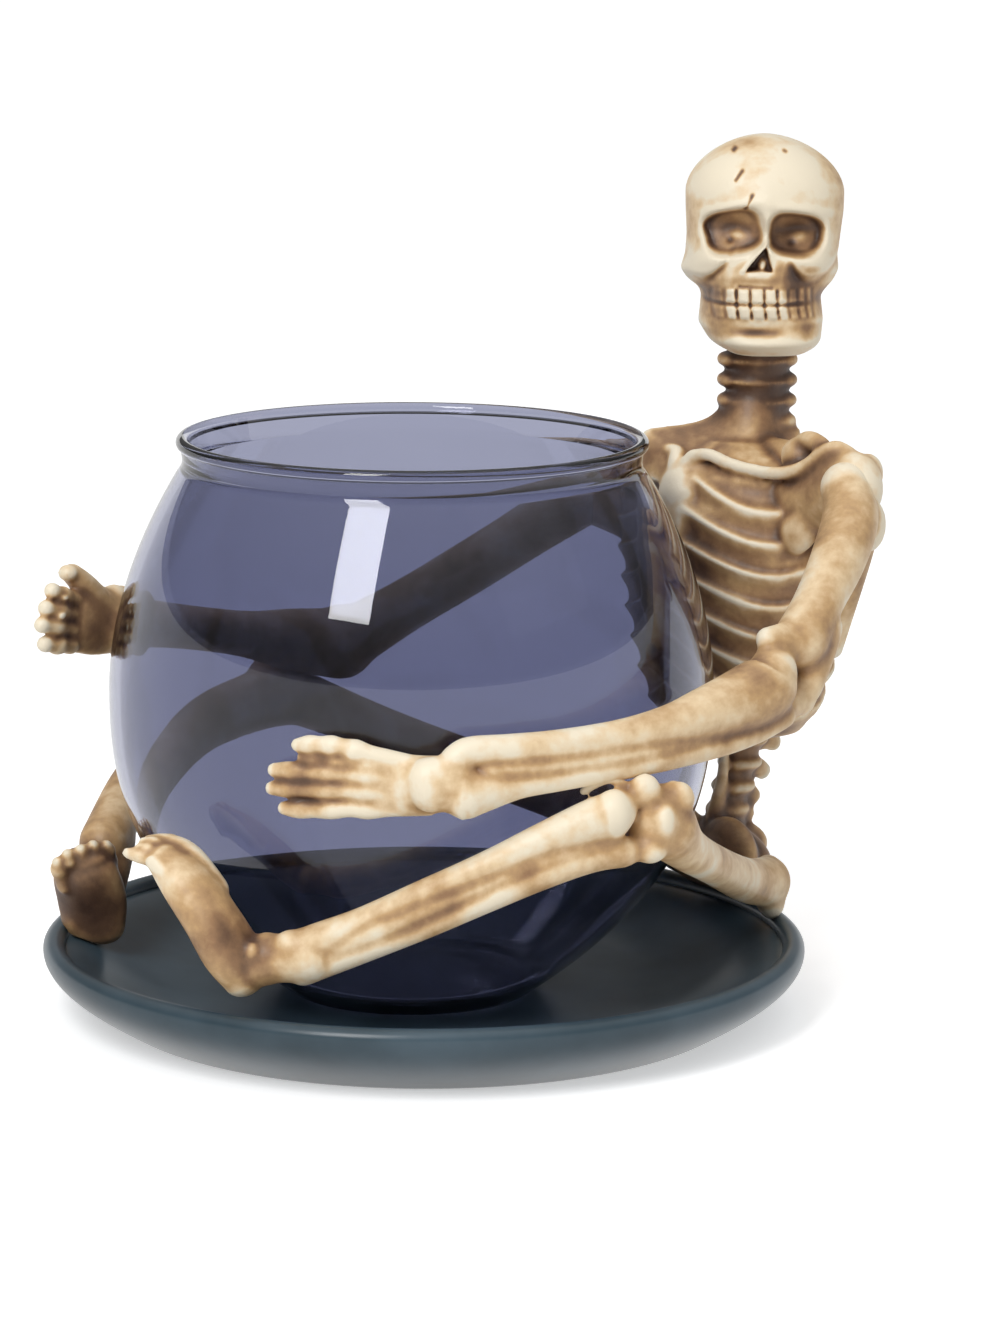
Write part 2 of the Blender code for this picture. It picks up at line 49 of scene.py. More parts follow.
mm = 0.001
DISH_FOOT_RADIUS = 69.5 * mm
DISH_FLARE = 15.5 * mm
DISH_HEIGHT = 16.7 * mm
DISH_FLOOR = 4.6 * mm
DISH_LIP = 5.0 * mm
DISH_FLOOR_RADIUS = 52.0 * mm
DISH_RIM = DISH_FOOT_RADIUS + DISH_FLARE
DISH_FOOT_EDGE = 0.2 * mm       # the foot's edge is broken by this much
DISH_TOP_ROW = 71               # first row of the profile past foot, wall and outer third of lip


def whole_turn(steps):
    """Angles of even steps once round."""
    return np.linspace(0, 2 * np.pi, steps, endpoint=False)


def dish_profile():
    """Radius and height from the axis out under the foot, up a quarter sine to the lip, over
    it in a half round, down a half cosine to the floor, and in to the axis."""
    lip = DISH_LIP / 2
    top = DISH_HEIGHT - lip
    s = np.linspace(0, 1, 40)
    wall = np.stack([DISH_FOOT_RADIUS + DISH_FLARE * np.sin(s * np.pi / 2), top * s], axis=1)
    foot = np.stack([np.linspace(0, DISH_FOOT_RADIUS, 24), np.zeros(24)], axis=1)[:-1]
    wall[0] -= (DISH_FOOT_EDGE, 0.0)
    a = np.linspace(0, np.pi, 24)[1:]
    roll = np.stack([DISH_RIM - lip + lip * np.cos(a), top + lip * np.sin(a)], axis=1)
    s = np.linspace(0, 1, 40)[1:]
    inner = DISH_RIM - DISH_LIP
    hollow = np.stack([inner - (inner - DISH_FLOOR_RADIUS) * s,
                       top - (top - DISH_FLOOR) * (1 - np.cos(np.pi * s ** 0.8)) / 2], axis=1)
    floor = np.stack([np.linspace(DISH_FLOOR_RADIUS, 0, 24), np.full(24, DISH_FLOOR)], axis=1)[1:]
    return np.vstack([foot, wall, roll, hollow, floor])


def turned(name, profile, centre=(0.0, 0.0)):
    """Surface of revolution: each profile point is carried round the upright axis in even
    steps, and the first and last point lie on the axis and close it."""
    steps = 192
    turn = whole_turn(steps)
    ring = profile[1:-1]
    points = np.empty((len(ring), steps, 3))
    points[..., 0] = centre[0] + ring[:, :1] * np.cos(turn)
    points[..., 1] = centre[1] + ring[:, :1] * np.sin(turn)
    points[..., 2] = ring[:, 1:]
    ends = [(*centre, profile[0, 1]), (*centre, profile[-1, 1])]
    here = np.arange(steps)
    following = (here + 1) % steps
    low = (np.arange(len(ring) - 1) * steps)[:, None]
    quads = np.stack([low + here, low + following, low + following + steps, low + here + steps], axis=-1)
    last = (len(ring) - 1) * steps
    bottom = np.stack([following, here, np.full(steps, last + steps)], axis=1)
    top = np.stack([last + here, last + following, np.full(steps, last + steps + 1)], axis=1)
    mesh = bpy.data.meshes.new(name)
    mesh.from_pydata(np.vstack([points.reshape(-1, 3), ends]).tolist(), [],
                     quads.reshape(-1, 4).tolist() + bottom.tolist() + top.tolist())
    mesh.shade_smooth()
    mesh.set_sharp_from_angle(angle=math.radians(40))
    piece = bpy.data.objects.new(name, mesh)
    bpy.context.scene.collection.objects.link(piece)
    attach(piece, "root")
    return piece


def finish(name, **values):
    """New material with its node tree, its shader set to the values, and a short way to add
    and join nodes."""
    made = bpy.data.materials.new(name)
    made.use_nodes = True
    tree = made.node_tree
    shader = tree.nodes["Principled BSDF"]
    for key, value in values.items():
        shader.inputs[key.replace("_", " ")].default_value = value

    def node(kind, inputs=None, **settings):
        added = tree.nodes.new("ShaderNode" + kind)
        for key, value in settings.items():
            setattr(added, key, value)
        for key, value in (inputs or {}).items():
            if isinstance(value, bpy.types.NodeSocket):
                tree.links.new(value, added.inputs[key])
            else:
                added.inputs[key].default_value = value
        return added

    return made, tree, shader, node


lacquer, tree, shader, node = finish("teal lacquer", Roughness=0.30, IOR=1.45)
place = node("TexCoord").outputs["Object"]
cloud = node("TexNoise", {"Vector": place, "Scale": 38.0, "Detail": 4.0}).outputs["Fac"]
tone = node("ValToRGB", {"Fac": cloud})
dark, light = tone.color_ramp.elements
dark.position, dark.color = 0.35, (0.028, 0.050, 0.066, 1)
light.position, light.color = 0.70, (0.062, 0.097, 0.124, 1)
tree.links.new(tone.outputs["Color"], shader.inputs["Base Color"])

dish = turned("dish", dish_profile())
dish.data.materials.append(lacquer)
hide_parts("base_dish")


# Bowl: blown in one piece from smoked blue-violet glass, with a rolled bead at its mouth. It
# stands loose in the middle of the dish.

AIR = 0.3 * mm                  # left between two pieces that touch
BOWL_X = -3.0 * mm
BOWL_Y = -1.6 * mm
BOWL_HEIGHT = 124.2 * mm
BOWL_BASE_RADIUS = 27.0 * mm
BELLY_RADIUS = 66.8 * mm
BELLY_HEIGHT = 68.0 * mm
MOUTH_RADIUS = 50.5 * mm
MOUTH_HEIGHT = 118.0 * mm
BEAD = 2.8 * mm
BEAD_ROUND = 1.42 * mm
GLASS = 2.4 * mm
GLASS_BASE = 4.0 * mm
BOWL_FOOT = DISH_FLOOR + AIR


def bowl_radius(h):
    """Outer radius at height h: below the belly, the base radius plus the rest times one less
    the 2.5th power of the height still to go; above it, less the 1.9th power of the climb."""
    h = np.asarray(h, dtype=float)
    low = 1 - (1 - np.clip(h / BELLY_HEIGHT, 0, 1)) ** 2.5
    high = np.clip((h - BELLY_HEIGHT) / (MOUTH_HEIGHT - BELLY_HEIGHT), 0, 1) ** 1.9
    return (BOWL_BASE_RADIUS + (BELLY_RADIUS - BOWL_BASE_RADIUS) * low
            - (BELLY_RADIUS - MOUTH_RADIUS) * high)


def bowl_profile():
    """Radius and height up the outside, over the bead in a round, and back down the inside
    one wall further in."""
    rise = BELLY_HEIGHT * np.linspace(0, 1, 48) ** 1.5
    rise = np.concatenate([rise[1:], np.linspace(BELLY_HEIGHT, MOUTH_HEIGHT + 1.2 * mm, 40)[1:]])
    outside = np.stack([bowl_radius(rise), BOWL_FOOT + rise], axis=1)
    foot = [(share * BOWL_BASE_RADIUS, BOWL_FOOT) for share in (0.0, 0.4, 0.8)]
    foot.append((0.96 * BOWL_BASE_RADIUS, BOWL_FOOT + 0.15 * mm))
    a = np.linspace(-0.42 * np.pi, 1.0 * np.pi, 22)
    middle = MOUTH_RADIUS + 0.5 * BEAD - 1.45 * mm
    bead = np.stack([middle + BEAD_ROUND * np.cos(a),
                     BOWL_FOOT + BOWL_HEIGHT - BEAD_ROUND * (1 - np.sin(a))], axis=1)
    back = rise[::-1]
    back = back[(back > GLASS_BASE + 0.6 * mm) & (back < MOUTH_HEIGHT + 0.4 * mm)]
    inside = np.stack([bowl_radius(back) - GLASS, BOWL_FOOT + back], axis=1)
    floor = [(share * BOWL_BASE_RADIUS, BOWL_FOOT + GLASS_BASE) for share in (0.88, 0.45, 0.0)]
    return np.vstack([foot, outside, bead, inside, floor])


smoke = finish("smoked glass", Base_Color=(0.345, 0.36, 0.485, 1), Roughness=0.0, IOR=1.48,
               Transmission_Weight=1.0)[0]

bowl = turned("bowl", bowl_profile(), (BOWL_X, BOWL_Y))
bowl.data.materials.append(smoke)
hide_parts("glass_bowl")


# Trunk of the skeleton: breastbone, ribs, collarbones, neck, spine and pelvis. The whole
# figure is cast in resin in one piece, painted ivory and wiped over with a brown wash.

SEAT = 33.0                     # direction round the bowl in which the figure sits
CHEST_TURN = 2.0
CLOSE_WIDTH = 0.9 * mm          # creases and grooves
WIDE_WIDTH = 3.0 * mm           # broad hollows
JOINT_WIDTH = 2.3 * mm          # lumps that run into each other round a joint
TRUNK_GRAIN = 0.56 * mm


def around(direction, out, up):
    """Point at a direction in degrees round the bowl's axis, out from its belly and up from
    the dish's rim, both in metres."""
    turn = math.radians(direction)
    reach = BELLY_RADIUS + out
    return np.array((BOWL_X + reach * math.cos(turn), BOWL_Y + reach * math.sin(turn), DISH_HEIGHT + up))


def compass(direction):
    """Level unit arrow in a direction in degrees."""
    turn = math.radians(direction)
    return np.array((math.cos(turn), math.sin(turn), 0.0))


def shell(rings):
    """Closed skin over a grid whose rows are rings: two triangles to each cell, and a fan
    from the middle of the first and of the last ring."""
    rows, cols = rings.shape[:2]
    points = np.vstack([rings.reshape(-1, 3), rings[0].mean(axis=0), rings[-1].mean(axis=0)])
    here = np.arange(cols)
    following = (here + 1) % cols
    low = (np.arange(rows - 1) * cols)[:, None]
    a, b = (low + here).ravel(), (low + following).ravel()
    last = (rows - 1) * cols
    faces = np.vstack([np.stack([a, b, b + cols], axis=1), np.stack([a, b + cols, a + cols], axis=1),
                       np.stack([following, here, np.full(cols, rows * cols)], axis=1),
                       np.stack([last + here, last + following, np.full(cols, rows * cols + 1)], axis=1)])
    return points, faces


def eased(values, per_span):
    """Smooth curve through the rows: between two rows a cubic with tangents along the line
    from the row before to the row after."""
    p = np.asarray(values, dtype=float)
    p = np.vstack([2 * p[0] - p[1], p, 2 * p[-1] - p[-2]])
    i = np.repeat(np.arange(1, len(p) - 2), per_span)
    t = np.tile(np.arange(per_span) / per_span, len(p) - 3)[:, None]
    curve = 0.5 * (2 * p[i] + (p[i + 1] - p[i - 1]) * t
                   + (2 * p[i - 1] - 5 * p[i] + 4 * p[i + 1] - p[i + 2]) * t ** 2
                   + (3 * p[i] - p[i - 1] - 3 * p[i + 1] + p[i + 2]) * t ** 3)
    return np.vstack([curve, p[-2]])


def bone(points, radii, flat=1.0, side=(0, 0, 1)):
    """Round section carried along a smooth path with domed ends. Its radius eases through the
    given radii, and flat widens it along side."""
    path = eased(points, 14)
    fine = eased(np.asarray(radii)[:, None], 16)[:, 0]
    share = np.linspace(0, 1, len(path))
    size = np.interp(share, np.linspace(0, 1, len(fine)), fine)
    along = np.gradient(path, axis=0)
    along /= np.linalg.norm(along, axis=1, keepdims=True)
    cap = np.radians([80, 60, 40, 20])
    shift = np.concatenate([-np.sin(cap), np.zeros(len(path)), np.sin(cap[::-1])])
    narrow = np.concatenate([np.cos(cap), np.ones(len(path)), np.cos(cap[::-1])])
    row = np.concatenate([np.zeros(4, int), np.arange(len(path)), np.full(4, len(path) - 1)])
    middle = path[row] + along[row] * (size[row] * shift)[:, None]
    side = np.asarray(side, dtype=float)
    wide = side - along[row] * (along[row] @ side)[:, None]
    wide /= np.linalg.norm(wide, axis=1, keepdims=True)
    deep = np.cross(along[row], wide)
    angle = whole_turn(32)
    reach = (size[row] * narrow)[:, None] * np.ones(32)
    return shell(middle[:, None] + wide[:, None] * (reach * flat * np.cos(angle))[..., None]
                 + deep[:, None] * (reach * np.sin(angle))[..., None])


def knob(centre, size, along=(1, 0, 0)):
    """Ellipsoid with half-sizes along, across and up."""
    x = np.asarray(along, dtype=float) / np.linalg.norm(along)
    y = np.cross((0, 0, 1), x)
    y /= np.linalg.norm(y)
    z = np.cross(x, y)
    rise = np.linspace(-0.48 * np.pi, 0.48 * np.pi, 16)[:, None, None]
    turn = whole_turn(28)[None, :, None]
    return shell(np.asarray(centre) + size[0] * np.cos(rise) * np.cos(turn) * x
                 + size[1] * np.cos(rise) * np.sin(turn) * y + size[2] * np.sin(rise) * z)


def at(direction, out, up):
    """Point round the bowl, as around gives it, with out and up in millimetres."""
    return around(direction, out * mm, up * mm)


def limb(places, radii, on=at, **more):
    """Bone in millimetres, through points or places round the bowl."""
    points = [place if isinstance(place, np.ndarray) else on(*place) for place in places]
    return bone(points, [radius * mm for radius in radii], **more)


def lump(place, size, **more):
    """Knob in millimetres, at a point or a place round the bowl."""
    point = place if isinstance(place, np.ndarray) else at(*place)
    return knob(point, [half * mm for half in size], **more)


def smoothed(points, edges, rounds):
    """Each point goes to the mean of its neighbours, this many times over."""
    count = np.bincount(edges.ravel(), minlength=len(points))[:, None]
    for _ in range(rounds):
        total = np.stack([np.bincount(edges[:, 0], points[edges[:, 1], k], len(points))
                          + np.bincount(edges[:, 1], points[edges[:, 0], k], len(points))
                          for k in range(3)], axis=1)
        points = 0.5 * points + 0.5 * total / count
    return points


def clear_of_bowl_and_dish(points):
    """Points inside the bowl's outline go straight out to its wall, and points under the
    dish's surface go straight up to it, each with the air between two pieces."""
    offset = points[:, :2] - (BOWL_X, BOWL_Y)
    distance = np.linalg.norm(offset, axis=1)
    wall = bowl_radius(points[:, 2] - BOWL_FOOT) + AIR
    inside = (distance < wall) & (points[:, 2] < BOWL_FOOT + BOWL_HEIGHT)
    points[inside, :2] += offset[inside] * ((wall - distance) / distance)[inside, None]
    rim = np.linalg.norm(points[:, :2], axis=1)
    profile = dish_profile()[DISH_TOP_ROW:]
    top = np.interp(rim, profile[::-1, 0], profile[::-1, 1]) + AIR
    under = (rim < DISH_RIM - 0.1 * mm) & (points[:, 2] < top)
    points[under, 2] = top[under]
    return points


def rounds_for(width, grain):
    """Rounds of smoothing that even out what is narrower than the width: twice the square of
    the width in grains, and one."""
    return int(2 * (width / grain) ** 2) + 1


def moved(mesh, points):
    """Writes the points into the mesh and gives back the new normals."""
    mesh.vertices.foreach_set("co", points.ravel())
    mesh.update()
    normals = np.empty(points.size)
    mesh.vertices.foreach_get("normal", normals)
    return normals.reshape(-1, 3)


def near(points, place, reach):
    """1 at a place and fading to a third at the given reach from it, in millimetres."""
    return np.exp(-((points - place) ** 2).sum(axis=1) / (reach * mm) ** 2)


def cast(name, forms, grain, wash_and_shade, fill=0.85, joints=(), hold=1.0):
    """Overlapping closed forms become one skin of even small faces. Creases where two forms
    meet are filled by part of the way to the smoothed skin over them, and round the joints,
    each a place and a reach, lumps and creases run into each other. Each point notes how
    deep it lies in a hollow, close and wide, which the colour darkens as wash and painted
    shade, and the wash and painted shade at its place. Less than 1 of the close hollow is
    held where the wash was rubbed out of the grooves."""
    starts = np.cumsum([0] + [len(points) for points, _ in forms])
    rough = bpy.data.meshes.new(name + " rough")
    points = np.vstack([points for points, _ in forms])
    faces = np.vstack([faces + start for (_, faces), start in zip(forms, starts)])
    rough.from_pydata(points.tolist(), [], faces.tolist())
    holder = bpy.data.objects.new(name + " rough", rough)
    bpy.context.scene.collection.objects.link(holder)
    skin = holder.modifiers.new("skin", "REMESH")
    skin.mode = "VOXEL"
    skin.voxel_size = grain
    mesh = bpy.data.meshes.new_from_object(holder.evaluated_get(bpy.context.evaluated_depsgraph_get()))
    bpy.data.objects.remove(holder, do_unlink=True)
    mesh.name = name
    points = np.empty(len(mesh.vertices) * 3)
    mesh.vertices.foreach_get("co", points)
    points = points.reshape(-1, 3)
    edges = np.empty(len(mesh.edges) * 2, int)
    mesh.edges.foreach_get("vertices", edges)
    edges = edges.reshape(-1, 2)
    points = clear_of_bowl_and_dish(smoothed(points, edges, 2))
    normals = moved(mesh, points)
    if fill:
        if joints:
            share = np.max([near(points, place, reach) for place, reach in joints], axis=0)
            blended = smoothed(points, edges, rounds_for(JOINT_WIDTH, grain))
            points = points + (blended - points) * np.clip(1.3 * share, 0, 0.9)[:, None]
            normals = moved(mesh, points)
        depth = ((smoothed(points, edges, rounds_for(CLOSE_WIDTH, grain)) - points) * normals).sum(axis=1)
        points = smoothed(points + normals * (fill * np.clip(depth, 0, None))[:, None], edges, 1)
        points = clear_of_bowl_and_dish(points)
        normals = moved(mesh, points)
    # depth in close and in wide hollows, which the colour darkens as wash and painted shade
    for label, width, share in (("close_hollow", CLOSE_WIDTH, hold),
                                ("wide_hollow", WIDE_WIDTH, 0.5 + 0.5 * hold)):
        depth = ((smoothed(points, edges, rounds_for(width, grain)) - points) * normals).sum(axis=1) / width
        depth = np.where(depth > 0, share, 1.0) * depth
        mesh.attributes.new(label, "FLOAT", "POINT").data.foreach_set("value", depth)
    # wash and painted shade that the piece's function gives at each point
    mesh.attributes.new("wash_and_shade", "FLOAT", "POINT").data.foreach_set("value", wash_and_shade(points))
    mesh.shade_smooth()
    piece = bpy.data.objects.new(name, mesh)
    bpy.context.scene.collection.objects.link(piece)
    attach(piece, "root")
    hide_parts("skeleton")
    mesh.materials.append(ivory)


# Base colour: ivory darkened by the brown wash and by painted shade in the hollows and on the shaded parts
# that the attributes give, with random blotches.
ivory, tree, shader, node = finish("ivory with wash and painted shade", Roughness=0.46)
place = node("TexCoord").outputs["Object"]
close = node("Attribute", attribute_name="close_hollow").outputs["Fac"]
wide = node("Attribute", attribute_name="wide_hollow").outputs["Fac"]
wash_and_shade = node("Attribute", attribute_name="wash_and_shade").outputs["Fac"]
blotch = node("TexNoise", {"Vector": place, "Scale": 75.0, "Detail": 3.0, "Roughness": 0.5}).outputs["Fac"]
mottle = node("TexNoise", {"Vector": place, "Scale": 420.0, "Detail": 4.0, "Roughness": 0.6}).outputs["Fac"]
speck = node("TexNoise", {"Vector": place, "Scale": 1500.0, "Detail": 3.0}).outputs["Fac"]
amount = wash_and_shade
# each part of the wash and painted shade: its value, the value at which it adds nothing, and its strength
for part, none, strength in ((close, 0.0, 2.0), (wide, 0.0, 0.75), (blotch, 0.5, 1.1), (mottle, 0.5, 0.25)):
    part = node("Math", {0: part, 1: none}, operation="SUBTRACT").outputs[0]
    amount = node("Math", {0: part, 1: strength, 2: amount}, operation="MULTIPLY_ADD").outputs[0]
# the ramp runs from ivory through the browns to near black where wash and painted shade are deepest
tone = node("ValToRGB", {"Fac": amount})
ramp = tone.color_ramp
ramp.elements[0].color = (0.88, 0.78, 0.60, 1)
ramp.elements[1].color = (0.060, 0.028, 0.016, 1)
for position, *colour in ((0.15, 0.80, 0.605, 0.37), (0.32, 0.57, 0.36, 0.172), (0.52, 0.31, 0.172, 0.083),
                          (0.74, 0.13, 0.068, 0.037)):
    ramp.elements.new(position).color = (*colour, 1)
tree.links.new(tone.outputs["Color"], shader.inputs["Base Color"])
bump = node("Bump", {"Height": speck, "Strength": 0.30, "Distance": 0.2 * mm})
tree.links.new(bump.outputs["Normal"], shader.inputs["Normal"])

chest_front = compass(SEAT + 180 + CHEST_TURN)
chest_left = compass(SEAT + 270 + CHEST_TURN)
CHEST_OUT = 21.5 * mm
CHEST_LOW = 36.0 * mm
CHEST_HIGH = 105.0 * mm
CHEST_HALF_WIDTH = 30.0 * mm
CHEST_HALF_DEPTH = 20.5 * mm
RIB_PITCH = 7.2 * mm
RIB_DROP = 8.0 * mm
HEAD_FACING = 272.0             # the head looks out to the front
HEAD_OUT = 27.3 * mm
HEAD_CHIN = 125.5 * mm
NECK = 8.6 * mm
HIP_SPREAD = 22.5 * mm
chest_middle = around(SEAT, CHEST_OUT, 0.0)
up = np.array((0.0, 0.0, 1.0))
head_front = compass(HEAD_FACING)
head_left = compass(HEAD_FACING + 90)


def ribs():
    """Level oval sections whose size follows the height. The ribs are bands in height that
    fall from the breastbone to the side and climb to the back, each with a raised upper
    edge, and the breastbone is a smooth strip down the front."""
    s = np.linspace(0, 1, 260)[:, None]
    a = whole_turn(280)[None, :]
    size = np.interp(s, [0, 0.03, 0.10, 0.25, 0.45, 0.65, 0.80, 0.90, 0.96, 1.0],
                     [0.30, 0.55, 0.74, 0.88, 0.97, 1.0, 0.92, 0.74, 0.52, 0.26])
    z = CHEST_LOW + s * (CHEST_HIGH - CHEST_LOW)
    turn = np.abs((np.degrees(a) + 180) % 360 - 180)
    fall = np.where(turn < 65, -RIB_DROP * np.sin(np.radians(turn * 90 / 65)),
                    -RIB_DROP + 1.4 * RIB_DROP * (np.clip(turn - 65, 0, None) / 115) ** 1.3)
    place = (CHEST_HIGH - z + fall - 3.4 * mm + 0.35 * mm * np.sin(5 * a)) / RIB_PITCH % 1.0
    climb = np.clip(np.where(place < 0.20, (place - 0.02) / 0.18, (0.72 - place) / 0.52), 0, 1)
    ridge = np.exp(-((place - 0.20) / 0.09) ** 2) * (0.5 + 0.5 * np.cos(np.radians(np.clip(turn, 0, 90) * 2)))
    relief = (1.5 * climb * climb * (3 - 2 * climb) + 0.8 * ridge - 1.0) * mm
    relief = relief * np.clip(np.minimum(5 * s, 9 * (1 - s)), 0, 1)
    strip = np.clip((15 - turn) / 5, 0, 1) * np.clip(6 * s - 1.5, 0, 1)
    relief = relief + (1.2 * mm - relief) * strip
    across = (CHEST_HALF_WIDTH * size + relief) * np.sin(a)
    forward = (CHEST_HALF_DEPTH * size + relief) * np.cos(a) + 3 * mm * (s - 0.5)
    return shell(chest_middle + across[..., None] * chest_left + forward[..., None] * chest_front
                 + z[..., None] * up)


trunk = [ribs()]
neck_foot = around(SEAT + 1.5, HEAD_OUT + 0.5 * mm, CHEST_HIGH - 4 * mm)
neck_top = around(SEAT + 0.5, HEAD_OUT, HEAD_CHIN + 8 * mm)
trunk.append(bone([neck_foot, neck_top], [NECK * 0.84, NECK * 0.74]))
for k in range(4):
    ring = around(SEAT + 1.3, HEAD_OUT - 0.2 * mm, HEAD_CHIN - 2.9 * mm - k * 4.7 * mm) + head_left * 0.4 * mm
    trunk.append(lump(ring, (7.6, 8.6, 1.7), along=head_front))
    for sign in (-1, 1):
        trunk.append(lump(ring + head_left * sign * 6.2 * mm, (3.2, 4.8, 1.9), along=head_left))
shoulder_root = around(SEAT + 1.5, HEAD_OUT - 2 * mm, CHEST_HIGH - 3 * mm)


def yoke():
    """Level ovals from the neck down to the shoulders. Down to the shoulder line they widen
    slowly and then fast, further on the far side and later at the front and back, and below
    it they stay as wide; their depth grows evenly all the way down."""
    s = np.linspace(0, 1, 60)[:, None, None]
    a = whole_turn(90)[None, :, None]
    top = around(SEAT + 1.3, HEAD_OUT - 0.2 * mm, HEAD_CHIN - 11.5 * mm)
    foot = around(SEAT + 1.5, HEAD_OUT - 4 * mm, HEAD_CHIN - 30 * mm)
    flare = np.interp(s - 0.03 - 0.24 * np.abs(np.cos(a)),
                      [0, 0.08, 0.16, 0.23, 0.28, 0.32, 0.345, 0.37, 0.42],
                      [0, 0.01, 0.07, 0.17, 0.30, 0.52, 0.78, 0.95, 1.0])
    across = np.where(np.sin(a) > 0, 7.3 + 5.0 * flare, 7.3 + 17.0 * flare) * mm
    forward = (7.3 + 7.5 * s ** 1.3) * mm
    return shell(top + (foot - top) * s + head_left * across * np.sin(a) + head_front * forward * np.cos(a))


trunk.append(yoke())

# spine below the ribs, with the spurs that point back from its rings
spine = [at(32.6, 25.2, 38.3), at(32.7, 23.2, 33.1), at(32.9, 21.8, 27.7), at(33.1, 20.4, 22.1),
         at(33, 18.7, 15.7)]
trunk.append(limb(spine, [4.6, 4.2, 3.9, 3.8, 4.4]))
trunk.append(limb([(31.4, 16.8, 32.4), (31, 15.9, 26), (31.6, 14.5, 17)], [1.2, 1.5, 2.2]))
for k, end in enumerate([at(33.2, 32.9, 32.5), at(33, 29.7, 26), at(33, 27.1, 20.2), at(32.6, 25.1, 16.2)]):
    ring = spine[0] + (spine[4] - spine[0]) * (0.16 + 0.24 * k)
    trunk.append(lump(ring, (5.4, 5.4, 2.2)))
    trunk.append(limb([ring, end + (ring - end) * 0.3 + up * 0.4 * mm, end], [2.6, 1.9, 1.7], flat=1.3))

# backbone behind the ribs
back = chest_middle - chest_front * 18.2 * mm
for k in range(9):
    knot = back + up * (CHEST_LOW + (8 + 6.9 * k) * mm) + chest_front * (0.9 * abs(k - 5)) * mm
    trunk.append(lump(knot, (3.9, 3.0, 2.6), along=chest_front))
    trunk.append(limb([knot, knot - chest_front * 3.4 * mm - up * 2.6 * mm], [1.9, 1.3]))

pelvis = around(SEAT, CHEST_OUT - 5 * mm, 8 * mm)
trunk.append(knob(pelvis, (9.0 * mm, HIP_SPREAD * 0.80, 8.0 * mm), along=chest_front))
trunk.append(lump((32.8, 24.8, 9.8), (5.0, 6.0, 4.6), along=chest_front))
for sign in (-1, 1):
    wing = pelvis + chest_left * (sign * HIP_SPREAD * 0.42) + chest_front * 3.5 * mm + up * 2.5 * mm
    trunk.append(lump(wing, (4.5, 9.5, 8.5), along=chest_front))

shoulder = {"left": at(6.3, 29.7, 100), "right": at(60, 16.5, 88.5)}
tip = {"left": at(9.5, 31.0, 102.8), "right": at(56, 17.0, 97.5)}
notch = at(33, 5, 96.0)         # dip between the collarbones
blade_foot = {"left": at(19, 32.5, 60), "right": at(47, 32.5, 60)}
blade_middle = {"left": at(14.5, 33.0, 86), "right": at(52, 32.5, 84)}
# collarbones, breastbone and the ribs that spring from its top
trunk.append(limb([(33.0, 5.0, 96.0), (31.5, 6.2, 101.6), (29.6, 7.4, 102.8), (27.3, 8.7, 102.9),
                   (24, 11, 101.5), (20.8, 13.9, 100.7), (17.9, 16.6, 100.5), (15.6, 19.2, 100.9),
                   (13.8, 21.4, 101.9), (12.5, 23.7, 103.7), (11.2, 26.1, 106.2), (10.3, 28.7, 107.5),
                   (9.5, 31.1, 106.6)], [2.1, 1.6, 1.5, 1.5, 1.5, 1.6, 1.7, 2.0, 2.1]))
trunk.append(limb([(34.0, 4.4, 96.0), (34.6, 5.0, 100.4), (35.7, 6.2, 102.5), (39.6, 6.4, 102.3),
                   (43.6, 6.6, 101.2), tip["right"] - up * 1 * mm], [2.0, 1.7, 1.6, 1.9]))
trunk.append(limb([(33.0, 3.6, 96.8), (32.4, 3.4, 93.4), (31.6, 4.2, 88.8), (30.7, 7, 82.5), (29.6, 9.4, 75)],
                  [2.5, 3.3, 2.6, 1.8, 1.2], flat=1.75, side=chest_left))
for path in (
        [(30.8, 6.7, 100.8), (29.2, 8.2, 98.9), (26.9, 9.6, 96.9), (24.7, 11.1, 95.9)],
        [(32.3, 5.4, 97.6), (29.9, 7.7, 95.1), (26.9, 9.7, 92.8), (23.5, 12.4, 91.2), (20.4, 15.3, 91.1)],
        [(32.7, 4.7, 94.1), (30.6, 7, 92.9), (27.9, 9.2, 91), (25, 11.4, 88.7), (21.2, 14.9, 88.2)]):
    trunk.append(limb(path, [1.1, 1.15, 1.2, 1.0]))
trunk.append(limb([(23, 11.6, 97.8), (21.3, 13.3, 97.4), (19.8, 14.6, 96.9)], [0.5, 0.7, 0.4]))
trunk.append(limb([(12.8, 21.8, 92.6), (12.3, 23, 91.1), (12.4, 24.4, 89)], [0.5, 0.7, 0.6]))
trunk.append(limb([(13.8, 23.7, 90.5), (14.8, 21.9, 86.7), (16.2, 21.3, 83.6)], [3.4, 3.6, 2.4], flat=1.2))
# shoulder blades, the tops of the shoulders and the chest's upper corners
for name in ("left", "right"):
    end = tip[name]
    trunk.append(limb([end - chest_front * 3 * mm - up * 6 * mm, blade_middle[name], blade_foot[name]],
                      [4.0, 5.8, 3.0], flat=1.5, side=chest_left))
    trunk.append(limb([end - up * 3 * mm, end + (shoulder_root - end) * 0.45 + up * 0.5 * mm, shoulder_root],
                      [3.2, 3.2, 3.6]))
    trunk.append(limb([shoulder[name] - chest_front * 3 * mm, chest_middle + up * (CHEST_HIGH - 20 * mm)],
                      [6.0, 8.0], flat=1.3))
trunk += [
    lump((9.3, 35.7, 102), (3.6, 4.2, 4.7)),
    limb([(18.2, 23.3, 105.2), (15.6, 24.9, 108.0), (13.2, 26.8, 107.2)], [2.4, 2.3, 2.3]),
    lump((17.4, 24.2, 104.0), (4.6, 4.6, 4.6)),
    limb([(31.3, 6.6, 100.0), (32.2, 5.8, 96.5), (31.6, 5.8, 92)], [1.4, 2.2, 2.0]),
]


